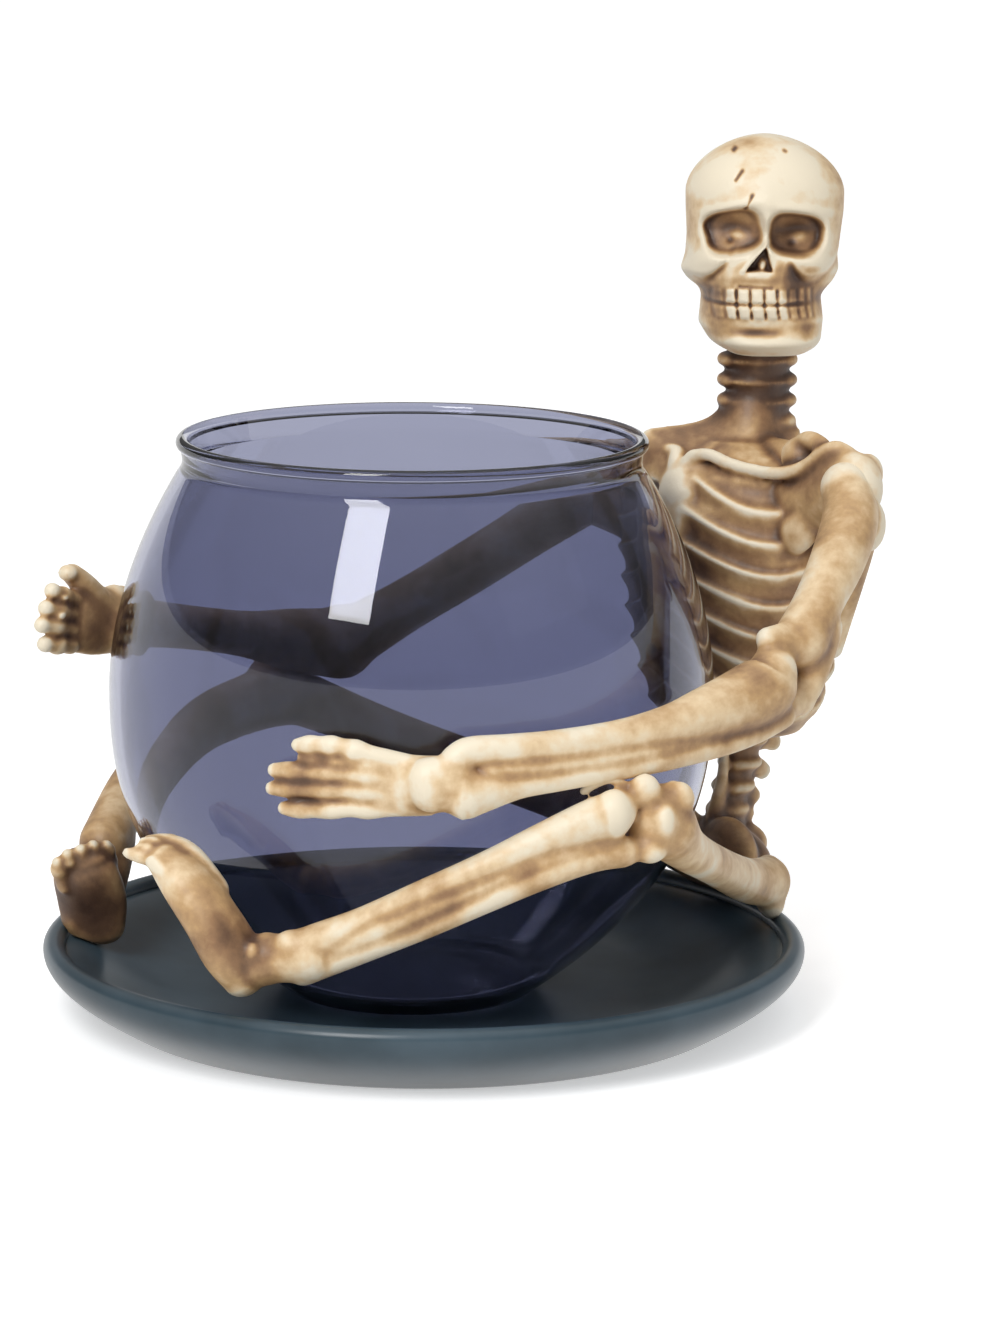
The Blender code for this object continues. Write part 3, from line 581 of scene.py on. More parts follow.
def trunk_wash_and_shade(points):
    """Wash and painted shade on the trunk, heavier than on the arms, which stand in front of it:
    thick on the neck, round the foot of the neck, on the ribs and the spine, with painted shade
    growing down towards the pelvis, and thin on the collarbones and the top of the breastbone."""
    across = (points - chest_middle) @ chest_left
    forward = (points - chest_middle) @ chest_front
    height = points[:, 2] - DISH_HEIGHT
    neck = np.clip((height - 108 * mm) / (8 * mm), 0, 1)
    # painted shade growing down towards the pelvis
    low = np.clip((60 * mm - height) / (40 * mm), 0, 1)
    plate = np.exp(-((across - 1 * mm) ** 2 + (height - 94 * mm) ** 2) / (9 * mm) ** 2) * (forward > 0)
    # wash and painted shade round the foot of the neck
    yoke_wash_and_shade = near(points, around(SEAT, HEAD_OUT - 3 * mm, 107 * mm), 15)
    return 0.42 + 0.28 * neck + 0.18 * low - 0.42 * plate + 0.32 * yoke_wash_and_shade


cast("trunk", trunk, TRUNK_GRAIN, trunk_wash_and_shade,
     joints=((tip["left"], 8), (notch, 6), (around(SEAT, HEAD_OUT, 103 * mm), 9), (at(33, 22, 8), 12)))


# Skull: cast with the trunk, turned to look out to the front. It has shallow sockets with a
# lump in each, a ridged nose opening, high cheekbones, two rows of teeth and a square chin.

SKULL_GRAIN = 0.35 * mm
HEAD_HEIGHT = 48.7              # in millimetres, as all of the face
head_middle = around(SEAT, HEAD_OUT, HEAD_CHIN)
# side, place across and up, half-width, half-height and lean of each socket
SOCKETS = ((-1, -6.6, 26.3, 6.4, 5.1, 14), (1, 7.1, 25.8, 6.3, 4.9, -9))
# both ends of each old crack, and how much wash it holds
CRACKS = ((-5.1, 40.4, -6.6, 38.2, 0.5), (-2.9, 35.0, -4.2, 31.9, 0.6), (-6.3, 45.2, -6.7, 44.7, 0.6),
          (4.4, 44.9, 4.8, 44.7, 0.45))


def soft(x, places, values, width=0.02):
    """Straight lines between the given values, rounded over the given width."""
    fine = np.linspace(places[0], places[-1], 600)
    span = max(3, int(width * 600) * 2 + 1)
    weight = np.hanning(span + 2)[1:-1]
    line = np.interp(fine, places, values)
    line = np.convolve(np.pad(line, span // 2, mode="edge"), weight / weight.sum(), mode="valid")
    return np.interp(x, fine, line)


def leaned(x, z, x0, z0, lean):
    """Place seen from x0 and z0, along and across a line that leans by an angle in degrees."""
    c, s = math.cos(math.radians(lean)), math.sin(math.radians(lean))
    return c * (x - x0) + s * (z - z0), -s * (x - x0) + c * (z - z0)


def swell(x, z, x0, z0, width, height, lean=0.0):
    """Soft patch in millimetres: 1 at its middle and a half at its half-width and
    half-height, leaning by an angle in degrees."""
    u, v = leaned(x, z, x0, z0, lean)
    return np.exp(-0.7 * ((u / width) ** 2 + (v / height) ** 2))


def pit(x, z, x0, z0, width, height, lean, wall):
    """Hollow in millimetres: 1 over its floor and 0 outside a rounded-square rim, with a
    steep wall between."""
    u, v = leaned(x, z, x0, z0, lean)
    power = 2.9
    reach = (np.abs(u / width) ** power + np.abs(v / height) ** power) ** (1 / power)
    step = np.clip((1.0 + wall / 2 - reach) / wall, 0, 1)
    return step * step * (3 - 2 * step)


def rise(value, start, end):
    """Smooth step from 0 at start to 1 at end."""
    t = np.clip((value - start) / (end - start), 0, 1)
    return t * t * (3 - 2 * t)


def window(value, start, end, soft_edge):
    """1 between start and end, 0 outside, with smooth steps of the given width."""
    return rise(value, start, start + soft_edge) * rise(end - value, 0, soft_edge)


def stroke(x, z, x0, z0, x1, z1, width):
    """Soft line in millimetres from one place to another: a bell curve of the distance to
    the nearest place on the line."""
    dx, dz = x1 - x0, z1 - z0
    t = np.clip(((x - x0) * dx + (z - z0) * dz) / (dx * dx + dz * dz), 0, 1)
    return np.exp(-((x - x0 - t * dx) ** 2 + (z - z0 - t * dz) ** 2) / width ** 2)


def face_place(x, z):
    """Where a place on the front lies among the even features: they sit up to 2.4 mm over to
    the figure's right and up to 2 mm higher."""
    return (x + np.interp(z, [0, 6, 11, 18, 22, 26, 33, 48], [0.3, 1.2, 2.1, 2.4, 1.8, 1.2, 1.5, 1.1]),
            z - np.interp(z, [0, 5, 11, 15, 18, 24, 31, 40, 48], [0, 0.5, 0.9, 1.5, 2.0, 2.0, 1.6, 1.4, 0.9]))


def nose(x, z, start, left_end, right_end):
    """1 inside the nose's leaning triangle, with smooth steps at its two sloping edges."""
    left_edge = -3.4 + (z - 17.5) * 0.66
    right_edge = 2.7 - (z - 17.5) * 0.38
    return rise(x - left_edge, start, left_end) * rise(right_edge - x, start, right_end) * rise(z, 17.1, 17.8)


def face(x, z):
    """How far the face is pushed in, in millimetres, at x across and z above the chin: the
    sockets, the cheek hollows under the cheekbones, the nose opening, the teeth with the
    mouth line between, and a few old cracks."""
    x, z = face_place(x, z)
    centre = np.interp(z, [0, 11, 17.5, 24, 30, 48], [-1.6, -1.6, -0.8, 0.3, 0.2, 0])
    off = np.abs(x - centre)
    depth = 0.0
    for side, x0, z0, w, h, lean in SOCKETS:
        depth += 3.8 * pit(x, z, x0, z0, w, h, lean, 0.38)
        depth += 3.0 * swell(x, z, x0 - side * 0.2, z0 + 0.5, 3.9, 3.0)
        depth -= 0.9 * swell(x, z, x0 + 1.0, z0 - 1.0, 1.6, 1.2)
        depth += 0.6 * swell(x, z, x0 - 0.7, z0 - 2.4, 0.7, 0.6)
        depth -= 0.9 * swell(x, z, x0, z0 + 6.1, 6.0, 1.2, lean)
        depth -= 1.5 * swell(x, z, side * 12.4 - 0.8, 19.6, 4.6, 1.7, -side * 10)
        beyond = np.abs(x + 0.8) - 12.2
        low = 16.6 + np.where(beyond < 0, 0.16, 0.10) * beyond ** 2
        under = rise(low - z, -0.4, 2.4) * rise(z, 6.5, 12.5) * rise(off, 5.4, 10.4) * (side * x > 0)
        depth += 2.6 * under
        depth += 0.9 * swell(x, z, side * 10.9 - 0.6, 5.5, 1.9, 2.6)
    depth -= 1.3 * swell(x, z, 0.3, 27.0, 1.4, 4.4)
    # nose: a leaning triangle with a raised left edge and a low wall inside
    hole = nose(x, z, -0.2, 0.5, 0.6)
    depth += 3.0 * hole
    depth -= 1.7 * swell(x, z, 0.4, 18.4, 0.8, 1.3) * hole
    depth -= 0.7 * stroke(x, z, 0.2, 23.6, -4.1, 17.4, 0.55)
    depth -= 0.5 * swell(x, z, -0.6, 16.4, 3.4, 0.8)
    depth += 0.5 * stroke(x, z, -4.6, 14.3, 2.6, 14.1, 0.30)
    # teeth: rounded blocks in two rows
    tooth = 0.0
    gap = 0.0
    for middle, half in ((-11.6, 0.9), (-9.2, 1.1), (-6.6, 1.15), (-3.8, 1.35), (-0.7, 1.40), (2.35, 1.30),
                         (5.1, 1.15), (7.5, 1.05), (9.6, 0.9), (11.3, 0.7)):
        across = rise(half + 0.10 - np.abs(x - middle) - 0.05 * np.abs(z - 10.9), 0.0, 0.5)
        size = 0.62 if -7 < middle < 4 else 0.28
        tooth += size * across * (window(z, 11.15, 13.9, 0.40) + window(z, 7.9, 10.65, 0.40))
        gap += np.exp(-((x - middle - half - 0.15) / 0.34) ** 2) * window(z, 7.6, 14.1, 0.6)
    depth = depth - tooth + (0.20 + 0.55 * rise(6.8 - np.abs(x + 0.7), 0, 2)) * np.clip(gap, 0, 1)
    depth += 0.85 * np.exp(-((z - 10.9) / 0.33) ** 2) * rise(12.0 - off, 0, 2)
    depth -= 0.9 * swell(x, z, centre, 2.2, 6.0, 2.0)
    depth += 1.0 * swell(x, z, centre - 0.2, 4.9, 4.2, 0.9)
    for x0, z0, x1, z1, _ in CRACKS:
        depth += 0.45 * stroke(x, z, x0, z0, x1, z1, 0.28)
    return depth


def head_wash_and_shade(points):
    """Wash left by the brush, with painted shade: heavy in the sockets, where it is wash and
    painted shade, and in the nose and the cracks; thin painted shade under the cheekbones and
    at the sides of the jaw, thin wash between the teeth, and painted shade down the sides of
    the skull, most on the figure's left."""
    local = (points - head_middle) / mm
    x, z = face_place(local @ head_left, local[:, 2])
    front = rise(local @ head_front, 2.0, 8.0)
    wash_and_shade = 0.0
    for side, x0, z0, w, h, lean in SOCKETS:
        # wash and painted shade in each socket, lighter on its lump
        wash_and_shade += 0.31 * pit(x, z, x0, z0, w - 0.2, h - 0.2, lean, 0.30)
        wash_and_shade -= 0.10 * swell(x, z, x0 + 1.0, z0 - 1.0, 1.4, 1.1)
        # painted shade under each cheekbone
        wash_and_shade += 0.26 * swell(x, z, side * 10.5 - 0.8, 14.0, 4.6, 3.2)
        # darker beside the nose
        wash_and_shade += 0.24 * swell(x, z, side * 5.0 - 0.6, 18.2, 2.4, 3.0)
        # painted shade in the hollow at each side of the jaw
        wash_and_shade += 0.26 * swell(x, z, side * 10.6 - 0.8, 6.0, 3.0, 3.4)
    hole = nose(x, z, -0.1, 0.4, 0.4)
    wash_and_shade += 0.38 * hole * (1 - 0.8 * swell(x, z, 0.4, 18.2, 1.0, 1.3))
    wash_and_shade = wash_and_shade + 0.14 * swell(x, z, -1.6, 10.6, 11.0, 3.6) + 0.28 * swell(x, z, -1.6, 15.6, 7.5, 1.5)
    wash_and_shade = wash_and_shade - 0.12 * swell(x, z, -2.0, 11.0, 4.2, 2.6) + 0.10 * swell(x, z, 7.5, 9.5, 3.5, 3.0)
    wash_and_shade += 0.30 * swell(x, z, -1.8, 5.2, 4.4, 0.9)
    for middle in (-5.3, -2.3, 0.9, 3.8):
        wash_and_shade += 0.28 * np.exp(-((x - middle) / 0.5) ** 2) * window(z, 7.6, 14.2, 0.8)
    wash_and_shade += 0.15 * rise(np.abs(x + 0.7), 5.6, 7.6) * window(z, 6.8, 15.0, 1.6)
    for x0, z0, x1, z1, much in CRACKS:
        wash_and_shade += much * stroke(x, z, x0, z0, x1, z1, 0.45)
    wash_and_shade = wash_and_shade + 0.22 * swell(x, z, -3.6, 47.0, 1.6, 0.9) + 0.10 * swell(x, z, -5.6, 36.6, 1.2, 1.0)
    # painted shade down the sides of the skull, most on the figure's left; wash and painted shade on the
    # front
    return 0.08 + 0.16 * rise(x, 9.0, 17.5) + 0.05 * rise(-x, 14.5, 17.5) + wash_and_shade * front


def head():
    """Level sections from the chin to the crown. Half-width and reach follow jaw, cheekbones
    and temples, each side by itself, and close over the crown as a rounded arch; the front
    is pushed in by the face."""
    arch = np.linspace(0.5 * np.pi, 0.02, 110)[1:]
    z = np.concatenate([np.linspace(0, 35.7, 300), HEAD_HEIGHT - 13 * (1 - np.cos(arch))])[:, None]
    turn = whole_turn(460)[None, :]
    turn = turn - 0.28 * np.sin(2 * turn)
    above = np.clip(HEAD_HEIGHT - z, 0, None)

    def crown(height, power):
        return (1 - np.clip((height - above) / height, 0, 1) ** power) ** (1 / power)

    right = soft(z, [0, 1, 2.7, 7.4, 12.5, 13.6, 16.0, 18.5, 22, 26, 32, 36, HEAD_HEIGHT],
                 [9.2, 11.6, 12.9, 13.4, 12.9, 13.6, 15.8, 17.0, 16.6, 17.1, 17.9, 18.0, 18.0])
    right = right * crown(13, 1.8)
    left = soft(z, [0, 1.2, 2.6, 6.2, 12.5, 14.2, 16.2, 18.3, 21.5, 26, 32, 36, HEAD_HEIGHT],
                [8.0, 10.6, 12.6, 14.8, 14.2, 14.9, 17.6, 19.0, 17.9, 17.6, 17.9, 18.0, 18.0])
    left = left * crown(13, 1.8)
    front = 18.5 * soft(z / HEAD_HEIGHT, [0, 0.06, 0.14, 0.25, 0.34, 0.48, 0.58, 0.68, 1.0],
                        [0.86, 1.04, 0.99, 1.05, 1.0, 0.98, 0.97, 1.0, 1.0]) * crown(15.5, 2.1)
    back = 24.0 * soft(z / HEAD_HEIGHT, [0, 0.08, 0.22, 0.33, 0.40, 0.48, 0.58, 0.70, 1.0],
                       [-0.05, 0.06, 0.14, 0.46, 0.70, 0.87, 0.96, 1.0, 1.0], 0.04) * crown(18, 2.1)
    square = soft(z, [0, 6, 14.6, 24.3, 34, HEAD_HEIGHT], [3.1, 2.9, 2.6, 2.6, 2.2, 2.0])
    c, d = np.cos(turn), np.sin(turn)
    square = np.where(c > 0, square, np.minimum(square, 2.1))
    x = np.where(d > 0, right, left) * np.sign(d) * np.abs(d) ** (2 / square)
    y = np.where(c > 0, front, back) * np.sign(c) * np.abs(c) ** (2 / square)
    y = y - np.where(c > 0, face(x, z) * np.clip(3 * c, 0, 1) * crown(6, 1.5), 0)
    return shell(head_middle + (x[..., None] * head_left + y[..., None] * head_front
                                + (z + 0 * x)[..., None] * up) * mm)


cast("skull", [head()], SKULL_GRAIN, head_wash_and_shade, fill=0.0)


# Arms: upper arm, elbow and forearm with a wrist ring, then the hand laid flat against the
# bowl. They are cast with the trunk.

ARM_GRAIN = 0.44 * mm
LIMB_HOLD = 0.6                 # share of the wash and painted shade left in the grooves of arms and legs


def against(direction, out, up):
    """Point out from the bowl's own wall at that height, in millimetres."""
    reach = float(bowl_radius(DISH_HEIGHT + up * mm - BOWL_FOOT))
    return around(direction, reach - BELLY_RADIUS + out * mm, up * mm)


elbow = at(103.5, 12.5, 50.5)
wrist = at(156, 6.2, 65)
forearm_way = [at(116, 9, 53.5), at(128, 6.8, 57), at(142, 6.2, 61)]

arms = {}
arms["left"] = [
    # upper arm: head, shaft, the bulge behind its upper third, and the lower end
    lump((5.7, 29.3, 99.8), (5.7, 5.7, 5.9)),
    limb([(5.7, 29.5, 99.8), (1.5, 29.6, 93.8), (-5.2, 26.7, 86.7), (-11.8, 23.4, 78.8), (-16.8, 21.3, 72.1)],
         [5.4, 6.3, 6.1, 5.5, 6.2]),
    lump((4.9, 34.4, 91.9), (4.1, 4.6, 6.4)),
    limb([(-23, 16.6, 73.6), (-20.4, 18.6, 72.8), (-17, 21, 71.5)], [2.9, 4.0, 5.6]),
    limb([(-26, 18.1, 60.3), (-35, 14.0, 57.3), (-50, 10.6, 55), (-65, 8.0, 53.9), (-76, 6.8, 52.8)],
         [3.4, 3.4, 3.2, 3.2]),
    limb([(-83.5, 3.4, 49.6), (-90, 3.6, 49.6)], [3.4, 3.6], on=against, flat=1.8),
    limb([(-12.8, 25.1, 73.9), (-14.2, 24.3, 68.3), (-16.4, 22.9, 61.6)], [4.0, 3.6, 3.2], flat=1.15),
    lump((-16.7, 21.3, 58.9), (3.6, 4.0, 3.6)),
    limb([(-16.6, 21.6, 59.6), (-20, 20.6, 58.2), (-24, 19.6, 57.4)], [2.9, 2.7, 2.8]),
    # forearm: the thick bone with its club end, the thin one below it, and the flared wrist
    limb([(-23.8, 18.4, 66.8), (-25.5, 17.8, 64.2), (-30.2, 15.4, 62.1), (-38.3, 12.9, 60.7),
          (-45.3, 11.2, 59.3), (-53.9, 9.1, 57.9), (-64.5, 7.9, 57.4), (-73, 7.3, 57.4), (-79.5, 6.8, 57.1),
          (-81.8, 6.9, 55.5)], [5.6, 7.0, 6.9, 5.5, 4.4, 3.9, 3.5, 3.2, 3.2, 3.4]),
    limb([(-23.1, 20.7, 57.2), (-28.6, 17.7, 55.2), (-35.6, 14.7, 53.8), (-45.7, 12, 53), (-54.4, 10, 52.1),
          (-64.7, 8.3, 50.9), (-71.3, 7.5, 50.1), (-76.6, 7.1, 48.9), (-80.2, 7.2, 48.1)],
         [2.8, 2.8, 2.8, 3.0, 3.0, 3.0, 3.3, 4.3, 5.2]),
    lump((-80.8, 8.1, 48.3), (2.4, 4.2, 5.4)),
    limb([(-81.9, 6.8, 50.2), (-84.2, 7, 50.5), (-86.3, 6.8, 50.2)], [4.6, 4.3, 4.4], flat=1.36),
]
hand_left = {
    "thumb": [(-90.2, 3.6, 54.2), (-96, 4, 55.9), (-100.6, 3.8, 57.1), (-104.6, 3.6, 57.4),
              (-108.7, 3.2, 57)],
    "first": [(-86.8, 3.2, 52.6), (-93.4, 3.6, 53.7), (-99.1, 3.4, 54.1), (-103.8, 2.6, 54.3),
              (-107.9, 2.2, 54.3)],
    "second": [(-86.5, 3.6, 50.4), (-93.4, 4, 51.2), (-99.7, 3.8, 51.6), (-107, 3, 51.3), (-113.5, 2.4, 51)],
    "third": [(-86.5, 3.4, 47.7), (-93.4, 3.9, 48), (-99.8, 3.8, 48.2), (-107.4, 3, 47.8), (-114, 2.4, 47)],
    "fourth": [(-86.8, 3.2, 45.1), (-93.5, 3.4, 44.4), (-99.5, 3.4, 44.2), (-106.1, 2.8, 43.3),
               (-111.8, 2.4, 42.9)],
}
for path in hand_left.values():
    arms["left"].append(limb(path, [2.3, 2.2, 2.1, 2.5, 2.0, 2.3, 1.9, 2.1, 1.5], on=against))
arms["left"].append(limb([(-85.4, 2.6, 48.8), (-92.6, 2.8, 49.3), (-98.9, 2.6, 49.2)], [2.8, 3.0, 2.4],
                         on=against, flat=2.3))

arms["right"] = [
    # upper arm, forearm and wrist, then the palm with its thumb
    limb([shoulder["right"], (shoulder["right"] + elbow) / 2 - chest_front * 1.5 * mm, elbow],
         [6.4, 5.7, 5.6, 5.6, 6.8], flat=1.15, side=(1, 0, 0.2)),
    lump(elbow + up * 4 * mm, (7.5, 6.0, 5.6), along=chest_left),
    limb([elbow, *forearm_way, wrist], [8.6, 7.4, 5.6, 5.2, 5.4, 5.9]),
    limb([wrist, (164.8, 4.2, 66.7)], [5.4, 4.6], flat=1.5),
    limb([(161.3, 3.6, 66.2), (167.6, 6.1, 67.5), (172.3, 8.9, 68.3)], [3.2, 3.4, 3.0], flat=2.35),
    limb([(165.8, 4.8, 70.5), (169.9, 7.6, 75.9), (172, 9.8, 79)], [3.3, 2.9, 2.4]),
    lump((173.2, 10.3, 79.5), (2.3, 2.3, 1.9)),
    lump((162.2, 4, 71.9), (3.6, 3.6, 3.0)),
]
for path in (
        [(172.7, 9.2, 73.3), (176.6, 10.9, 75.1), (178.8, 12.7, 76.8)],
        [(173.5, 9.4, 70.3), (178.1, 11.6, 72.1), (-179.7, 13.9, 73.3)],
        [(174.3, 9.7, 67.1), (178.8, 12.2, 68.9), (-179, 14.7, 69.7)],
        [(174.3, 9.8, 63.5), (178.1, 11.9, 64.5), (-179.7, 14.2, 65.2)]):
    arms["right"].append(limb(path, [2.2, 1.9, 2.3, 1.8, 1.9]))
arms["right"].append(lump((177.9, 10.5, 75.2), (1.5, 1.6, 0.8)))
arms["right"].append(lump((179.2, 10.7, 71.5), (1.2, 1.6, 0.9)))

arm_joints = {
    "left": ((at(-19.5, 20, 66), 13), (at(-82.5, 7, 51), 6), (against(-89, 3, 49.5), 8), (at(7, 31, 97), 9)),
    "right": ((elbow, 14), (at(164, 4.2, 67), 9)),
}


def arm_wash_and_shade(points):
    """Wash on the arms: brown round the elbow, wash and painted shade on the underside of the
    fingers, painted shade over the far palm, and thin on the back of the near hand."""
    return (0.33 + 0.12 * near(points, at(-20, 20, 62), 13)
            + 0.16 * near(points, at(-30, 20, 62), 9)
            - 0.20 * near(points, against(-91, 5, 51), 8)
            # wash and painted shade under the fingers of the near hand
            + 0.30 * near(points, against(-108, 2, 49), 10)
            # painted shade over the far palm
            + 0.38 * near(points, at(174, 8, 70), 14))


for name, forms in arms.items():
    cast(name + "_arm", forms, ARM_GRAIN, arm_wash_and_shade, joints=arm_joints[name], hold=LIMB_HOLD)


# Legs: thigh, knee and shin crossed in front of the bowl, and the foot standing in the dish.
# They are cast with the trunk.

LEG_GRAIN = 0.47 * mm
hip = at(49, 18.5, 10)
knee = at(114, 17.5, 39.5)
ankle = at(168, 4.5, 16.5)
thigh_way = at(80, 6, 23)
shin_way = [at(130, 14.5, 34), at(148, 8.5, 25.5)]

legs = {}
legs["left"] = [
    # thigh, with the hip end that stands on the rim
    limb([(12.3, 15.7, 8), (2.8, 7.9, 11.8), (-21.8, 4.2, 22.6), (-39.2, 9.8, 31.3), (-46.7, 13.5, 38)],
         [5.4, 4.6, 4.1, 4.6, 6.4], flat=1.1),
    lump((13, 15.9, 8.7), (4.0, 5.0, 5.6)),
    lump((12.9, 16.7, 3.1), (3.4, 5.0, 4.2)),
    # knee: a cluster of lumps under the forearm
    lump((-48.6, 11.6, 39.5), (8.2, 6.4, 8.4), along=compass(SEAT + 90)),
    limb([(-60.1, 7.5, 47), (-58.3, 8.9, 48.9), (-56.5, 10.4, 50), (-54.3, 11.3, 48.5)],
         [1.0, 1.3, 1.4, 1.2]),
    lump((-51.7, 13.9, 47.3), (3.6, 3.2, 3.8)),
    lump((-46.3, 16.7, 44.7), (3.2, 3.0, 4.0)),
    lump((-46.8, 14.7, 47.3), (1.6, 1.6, 1.8)),
    lump((-50.3, 18.1, 40.9), (2.4, 2.4, 3.8)),
    lump((-51.5, 15.5, 34.4), (3.6, 3.2, 2.9)),
    # shin: two bones side by side with a groove between
    lump((-57.2, 13.4, 43), (4.4, 4.6, 5.4)),
    limb([(-56.5, 12.8, 43.2), (-60.3, 10.8, 41.2), (-68.1, 8.5, 37.5), (-76.8, 6, 32.1), (-86.8, 3.7, 26.1),
          (-97.4, 2.7, 19.6), (-105.1, 3, 15), (-108.1, 3, 13)], [4.6, 4.7, 3.7, 3.3, 3.2, 3.3, 4.2, 4.6]),
    limb([(-55, 13, 34.4), (-60.2, 10.9, 33.7), (-68.1, 8.6, 30.6), (-77.5, 5.8, 25), (-86.7, 3.7, 19.6),
          (-97.4, 2.7, 14), (-104.8, 2.9, 10.3), (-107.9, 3, 8.7)], [3.4, 3.4, 3.5, 3.1, 3.0, 3.1, 3.4, 3.6]),
    limb([(-57.7, 10.6, 37.1), (-67.3, 7.6, 33.4), (-80.5, 4.4, 26.8), (-94.4, 2.6, 18.7),
          (-107.3, 1.8, 10.8)], [4.0, 4.2, 3.8, 3.9, 4.6]),
    lump((-109.8, 4.9, 14.1), (3.4, 3.4, 3.8)),
    limb([(-116.5, 4.5, 9.5), (-112, 3.6, 10.8), (-106.5, 3.0, 11.6)], [5.4, 5.2, 5.4]),
    # foot: heel, ankle, instep with its ridge, and the toes
    lump((-114.2, 3.8, 11.4), (4.4, 4.6, 5.0)),
    lump((-115.3, 8.3, 12.9), (1.8, 1.8, 2.2)),
    limb([(-118.2, 5.1, 6.9), (-120.1, 7.1, 12.4), (-123.1, 8.5, 19.1), (-127.5, 9.2, 25.8),
          (-131.7, 9.4, 29.9)], [4.6, 5.6, 5.4, 4.9, 3.6], flat=1.25,
         side=at(-132.3, -1.3, 28) - at(-129.8, 17, 23.1)),
    limb([(-118.7, 9.2, 12.4), (-121.7, 11.2, 19.0), (-125.6, 12, 24.4), (-129.4, 12.6, 28.3),
          (-131.8, 13.0, 30.0)], [2.6, 3.0, 2.8, 2.2, 1.7]),
    limb([(-124.5, 4, 23.9), (-129.6, 5, 30.1), (-133.4, 6.7, 32.2), (-136.1, 8.7, 32.3)],
         [3.0, 3.0, 2.6, 2.0]),
    lump((-118.8, 5.5, 4.7), (3.4, 4.0, 2.4)),
]
for path in (
        [(-130.4, 11.2, 28.8), (-133.7, 12.6, 30.5), (-136.2, 14.7, 31.3)],
        [(-130.4, 9.9, 30.3), (-133.3, 11.4, 31.7), (-134.9, 12.8, 32.4)],
        [(-131, 8, 30.7), (-133.5, 9.5, 32.6), (-135.3, 11.3, 33.3)],
        [(-131.4, 5.7, 30.7), (-133.6, 7, 32.8), (-135.6, 8.7, 33.3)],
        [(-131.5, 3.2, 29.8), (-133.6, 4.8, 32.5), (-135.3, 6.3, 33)]):
    legs["left"].append(limb(path, [1.7, 1.5, 1.7, 1.2]))

legs["right"] = [
    # thigh, knee and shin
    limb([hip, thigh_way, knee], [7.2, 5.9, 5.6, 5.6, 7.0]),
    lump(knee, (10, 8.5, 9.0), along=compass(SEAT + 90)),
    lump(knee + up * 6.2 * mm, (5.8, 5.6, 5.4), along=compass(SEAT + 90)),
    limb([knee - up * 1 * mm, *shin_way, ankle], [7.6, 6.7, 6.0, 5.6, 5.8]),
    # foot: sole towards the front, heel in the dish, toes in a row on top
    limb([(164, 4.1, 16.7), (168.2, 4.3, 10.4), (171.5, 5.2, 3.3)], [5.6, 6.0, 5.4]),
    limb([(175.5, 4.7, -0.8), (176.3, 4.9, 5.9), (178.7, 5.8, 12.4), (179.5, 6.6, 15.6)],
         [4.2, 4.6, 4.4, 3.6], flat=1.75, side=compass(-8)),
    lump((174.5, 2.6, -1.5), (4.4, 4.0, 3.4)),
    lump((175.7, 8.5, 0.6), (3.2, 4.0, 3.0)),
]
for path in (
        [(179.6, 10.2, 10.5), (-179, 11.3, 13.8), (-178.2, 11.7, 16.1)],
        [(179.5, 7.9, 13.3), (-178.9, 9.1, 16.1), (-178.2, 9.5, 17.9)],
        [(179.5, 5.7, 14.7), (-179.3, 6.4, 17.3), (-178.5, 6.6, 18.9)],
        [(178.7, 3.3, 15.4), (179.9, 3.8, 18), (-179.3, 4, 19.6)],
        [(177.8, 0.8, 15.2), (178.6, 1.1, 17.7), (179.5, 1.2, 19.3)]):
    legs["right"].append(limb(path, [2.3, 1.9, 2.1, 1.5]))

leg_joints = {
    "left": ((at(-50, 14, 42), 12), (at(-110, 3.5, 12.5), 8), (at(-122, 11, 19), 10), (at(13, 16, 6), 9)),
    "right": ((knee, 14), (at(168, 4.3, 12), 10), (at(176, 5, 1), 8)),
}


def leg_wash_and_shade(points):
    """Wash on the legs: brown on the feet, thin on the knee's ball, painted shade darkest on the far sole."""
    return (0.38 + 0.13 * near(points, at(-120, 8, 17), 17)
            - 0.26 * near(points, at(-57, 18, 45), 6)
            # painted shade on the far sole
            + 0.42 * near(points, at(178, 9, 8), 18))


for name, forms in legs.items():
    cast(name + "_leg", forms, LEG_GRAIN, leg_wash_and_shade, joints=leg_joints[name], hold=LIMB_HOLD)


# Table top: a plain white sheet, which isn't part of the object, with the lamps and the
# camera that the picture is taken with.

paper, tree, shader, node = finish("white paper", Roughness=0.7, Specular_IOR_Level=0.0,
                                   Emission_Color=(1, 1, 1, 1))
rays = node("LightPath").outputs
mirrored = node("Math", {0: rays["Is Glossy Ray"], 1: rays["Is Transmission Ray"]}, use_clamp=True).outputs[0]
tint = node("Math", {0: mirrored, 1: -0.90, 2: 0.90}, operation="MULTIPLY_ADD").outputs[0]
tree.links.new(tint, shader.inputs["Base Color"])
glow = node("Math", {0: rays["Is Camera Ray"], 1: 0.48, 2: mirrored}, operation="MULTIPLY_ADD").outputs[0]
tree.links.new(glow, shader.inputs["Emission Strength"])
sheet = bpy.data.meshes.new("table")
sheet.from_pydata([(-30, -30, 0), (30, -30, 0), (30, 30, 0), (-30, 30, 0)], [], [(0, 1, 2, 3)])
sheet.materials.append(paper)
table = bpy.data.objects.new("table", sheet)
bpy.context.scene.collection.objects.link(table)

world = bpy.data.worlds.new("room")
bpy.context.scene.world = world
world.use_nodes = True
sky = world.node_tree.nodes


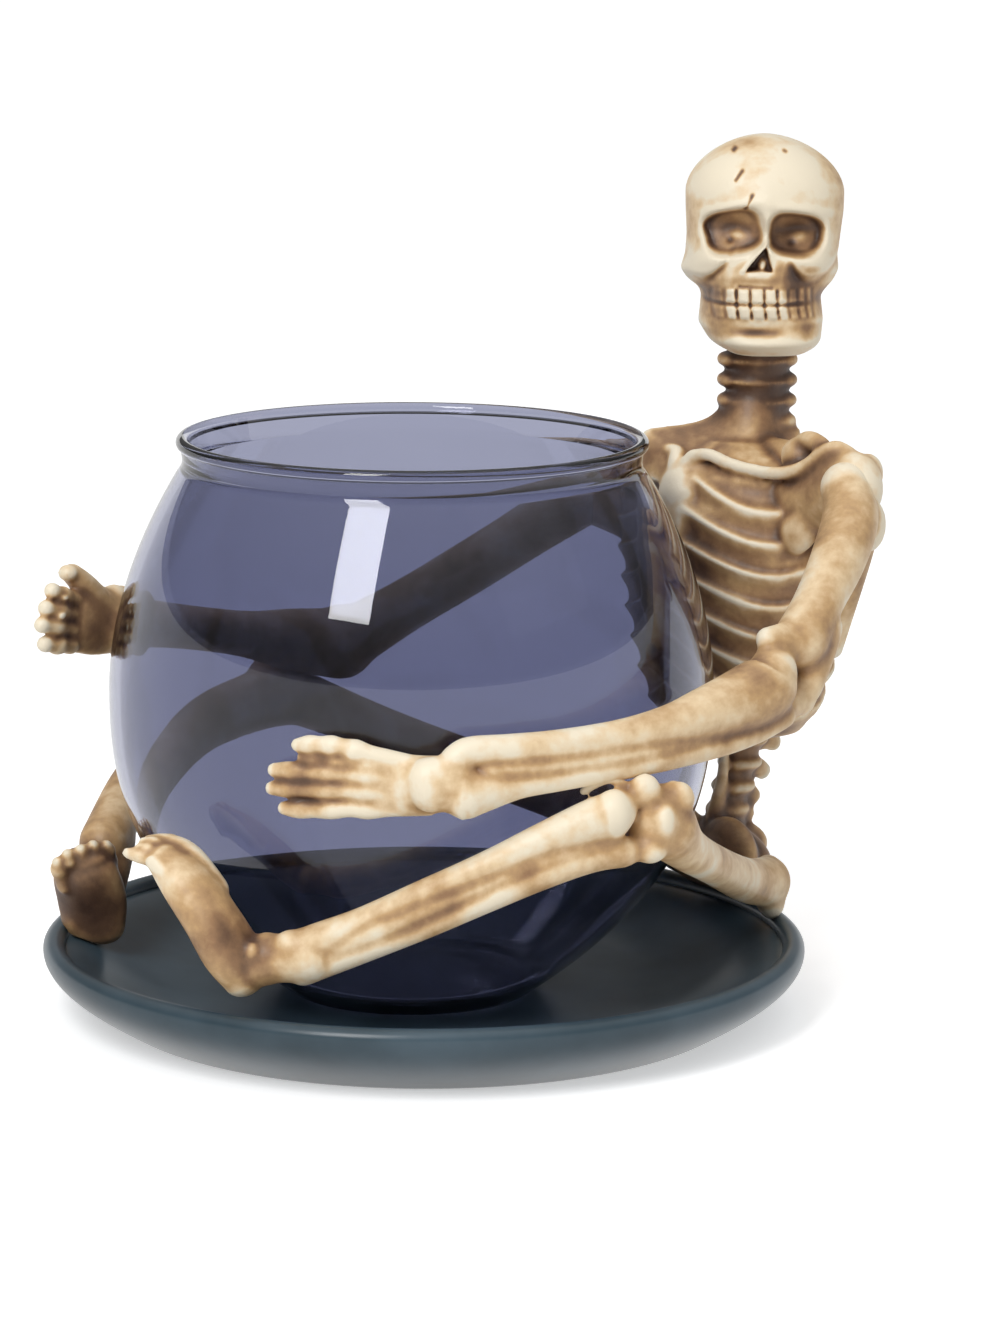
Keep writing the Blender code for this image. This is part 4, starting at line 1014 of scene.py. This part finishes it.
def sky_math(operation, *values):
    """Value of a sum in the world's nodes, from numbers and other nodes' sockets."""
    made = sky.new("ShaderNodeMath")
    made.operation = operation
    for socket, value in zip(made.inputs, values):
        if isinstance(value, bpy.types.NodeSocket):
            world.node_tree.links.new(value, socket)
        else:
            socket.default_value = value
    return made.outputs[0]


split = sky.new("ShaderNodeSeparateXYZ")
world.node_tree.links.new(sky.new("ShaderNodeTexCoord").outputs["Generated"], split.inputs[0])
height = split.outputs["Z"]
rays = sky.new("ShaderNodeLightPath").outputs
seen = sky_math("ADD", rays["Is Camera Ray"], rays["Is Glossy Ray"])
seen = sky_math("MINIMUM", sky_math("ADD", seen, rays["Is Transmission Ray"]), 1.0)
wall = sky_math("MULTIPLY", seen, sky_math("LESS_THAN", height, 0.15))
light = sky_math("MULTIPLY_ADD", sky_math("MULTIPLY", height, height), 1.0, 0.12)
world.node_tree.links.new(sky_math("MAXIMUM", light, wall), sky["Background"].inputs["Strength"])
sky["Background"].inputs["Color"].default_value = (1, 1, 1, 1)


def lamp(name, place, aim, size, watts):
    """Rectangular lamp at a place, turned to a point."""
    light = bpy.data.lights.new(name, "AREA")
    light.shape = "RECTANGLE"
    light.size, light.size_y = size
    light.energy = watts
    hung = bpy.data.objects.new(name, light)
    hung.location = place
    hung.rotation_euler = (Vector(aim) - Vector(place)).to_track_quat("-Z", "Y").to_euler()
    bpy.context.scene.collection.objects.link(hung)
    return hung


lamp("window", (-0.39, -0.84, 0.85), (0, 0, 0.08), (0.33, 0.6), 7.6)
fill_light = lamp("room lamp", (0.9, -0.5, 0.9), (0, 0, 0.08), (0.9, 0.9), 1.3)
fill_light.visible_glossy = False

CAMERA_TILT = 11.2
CAMERA_ROLL = 0.4
view = bpy.data.cameras.new("view")
view.lens = 180
view.sensor_width = 36
view.sensor_fit = "HORIZONTAL"
camera = bpy.data.objects.new("camera", view)
camera.location = (0.0165, -1.0859, 0.2922)
turn = Matrix.Rotation(math.radians(90 - CAMERA_TILT), 3, "X") @ Matrix.Rotation(math.radians(CAMERA_ROLL),
                                                                                 3, "Z")
camera.rotation_euler = turn.to_euler()
bpy.context.scene.collection.objects.link(camera)
bpy.context.scene.camera = camera
bpy.context.scene.view_settings.view_transform = "Standard"
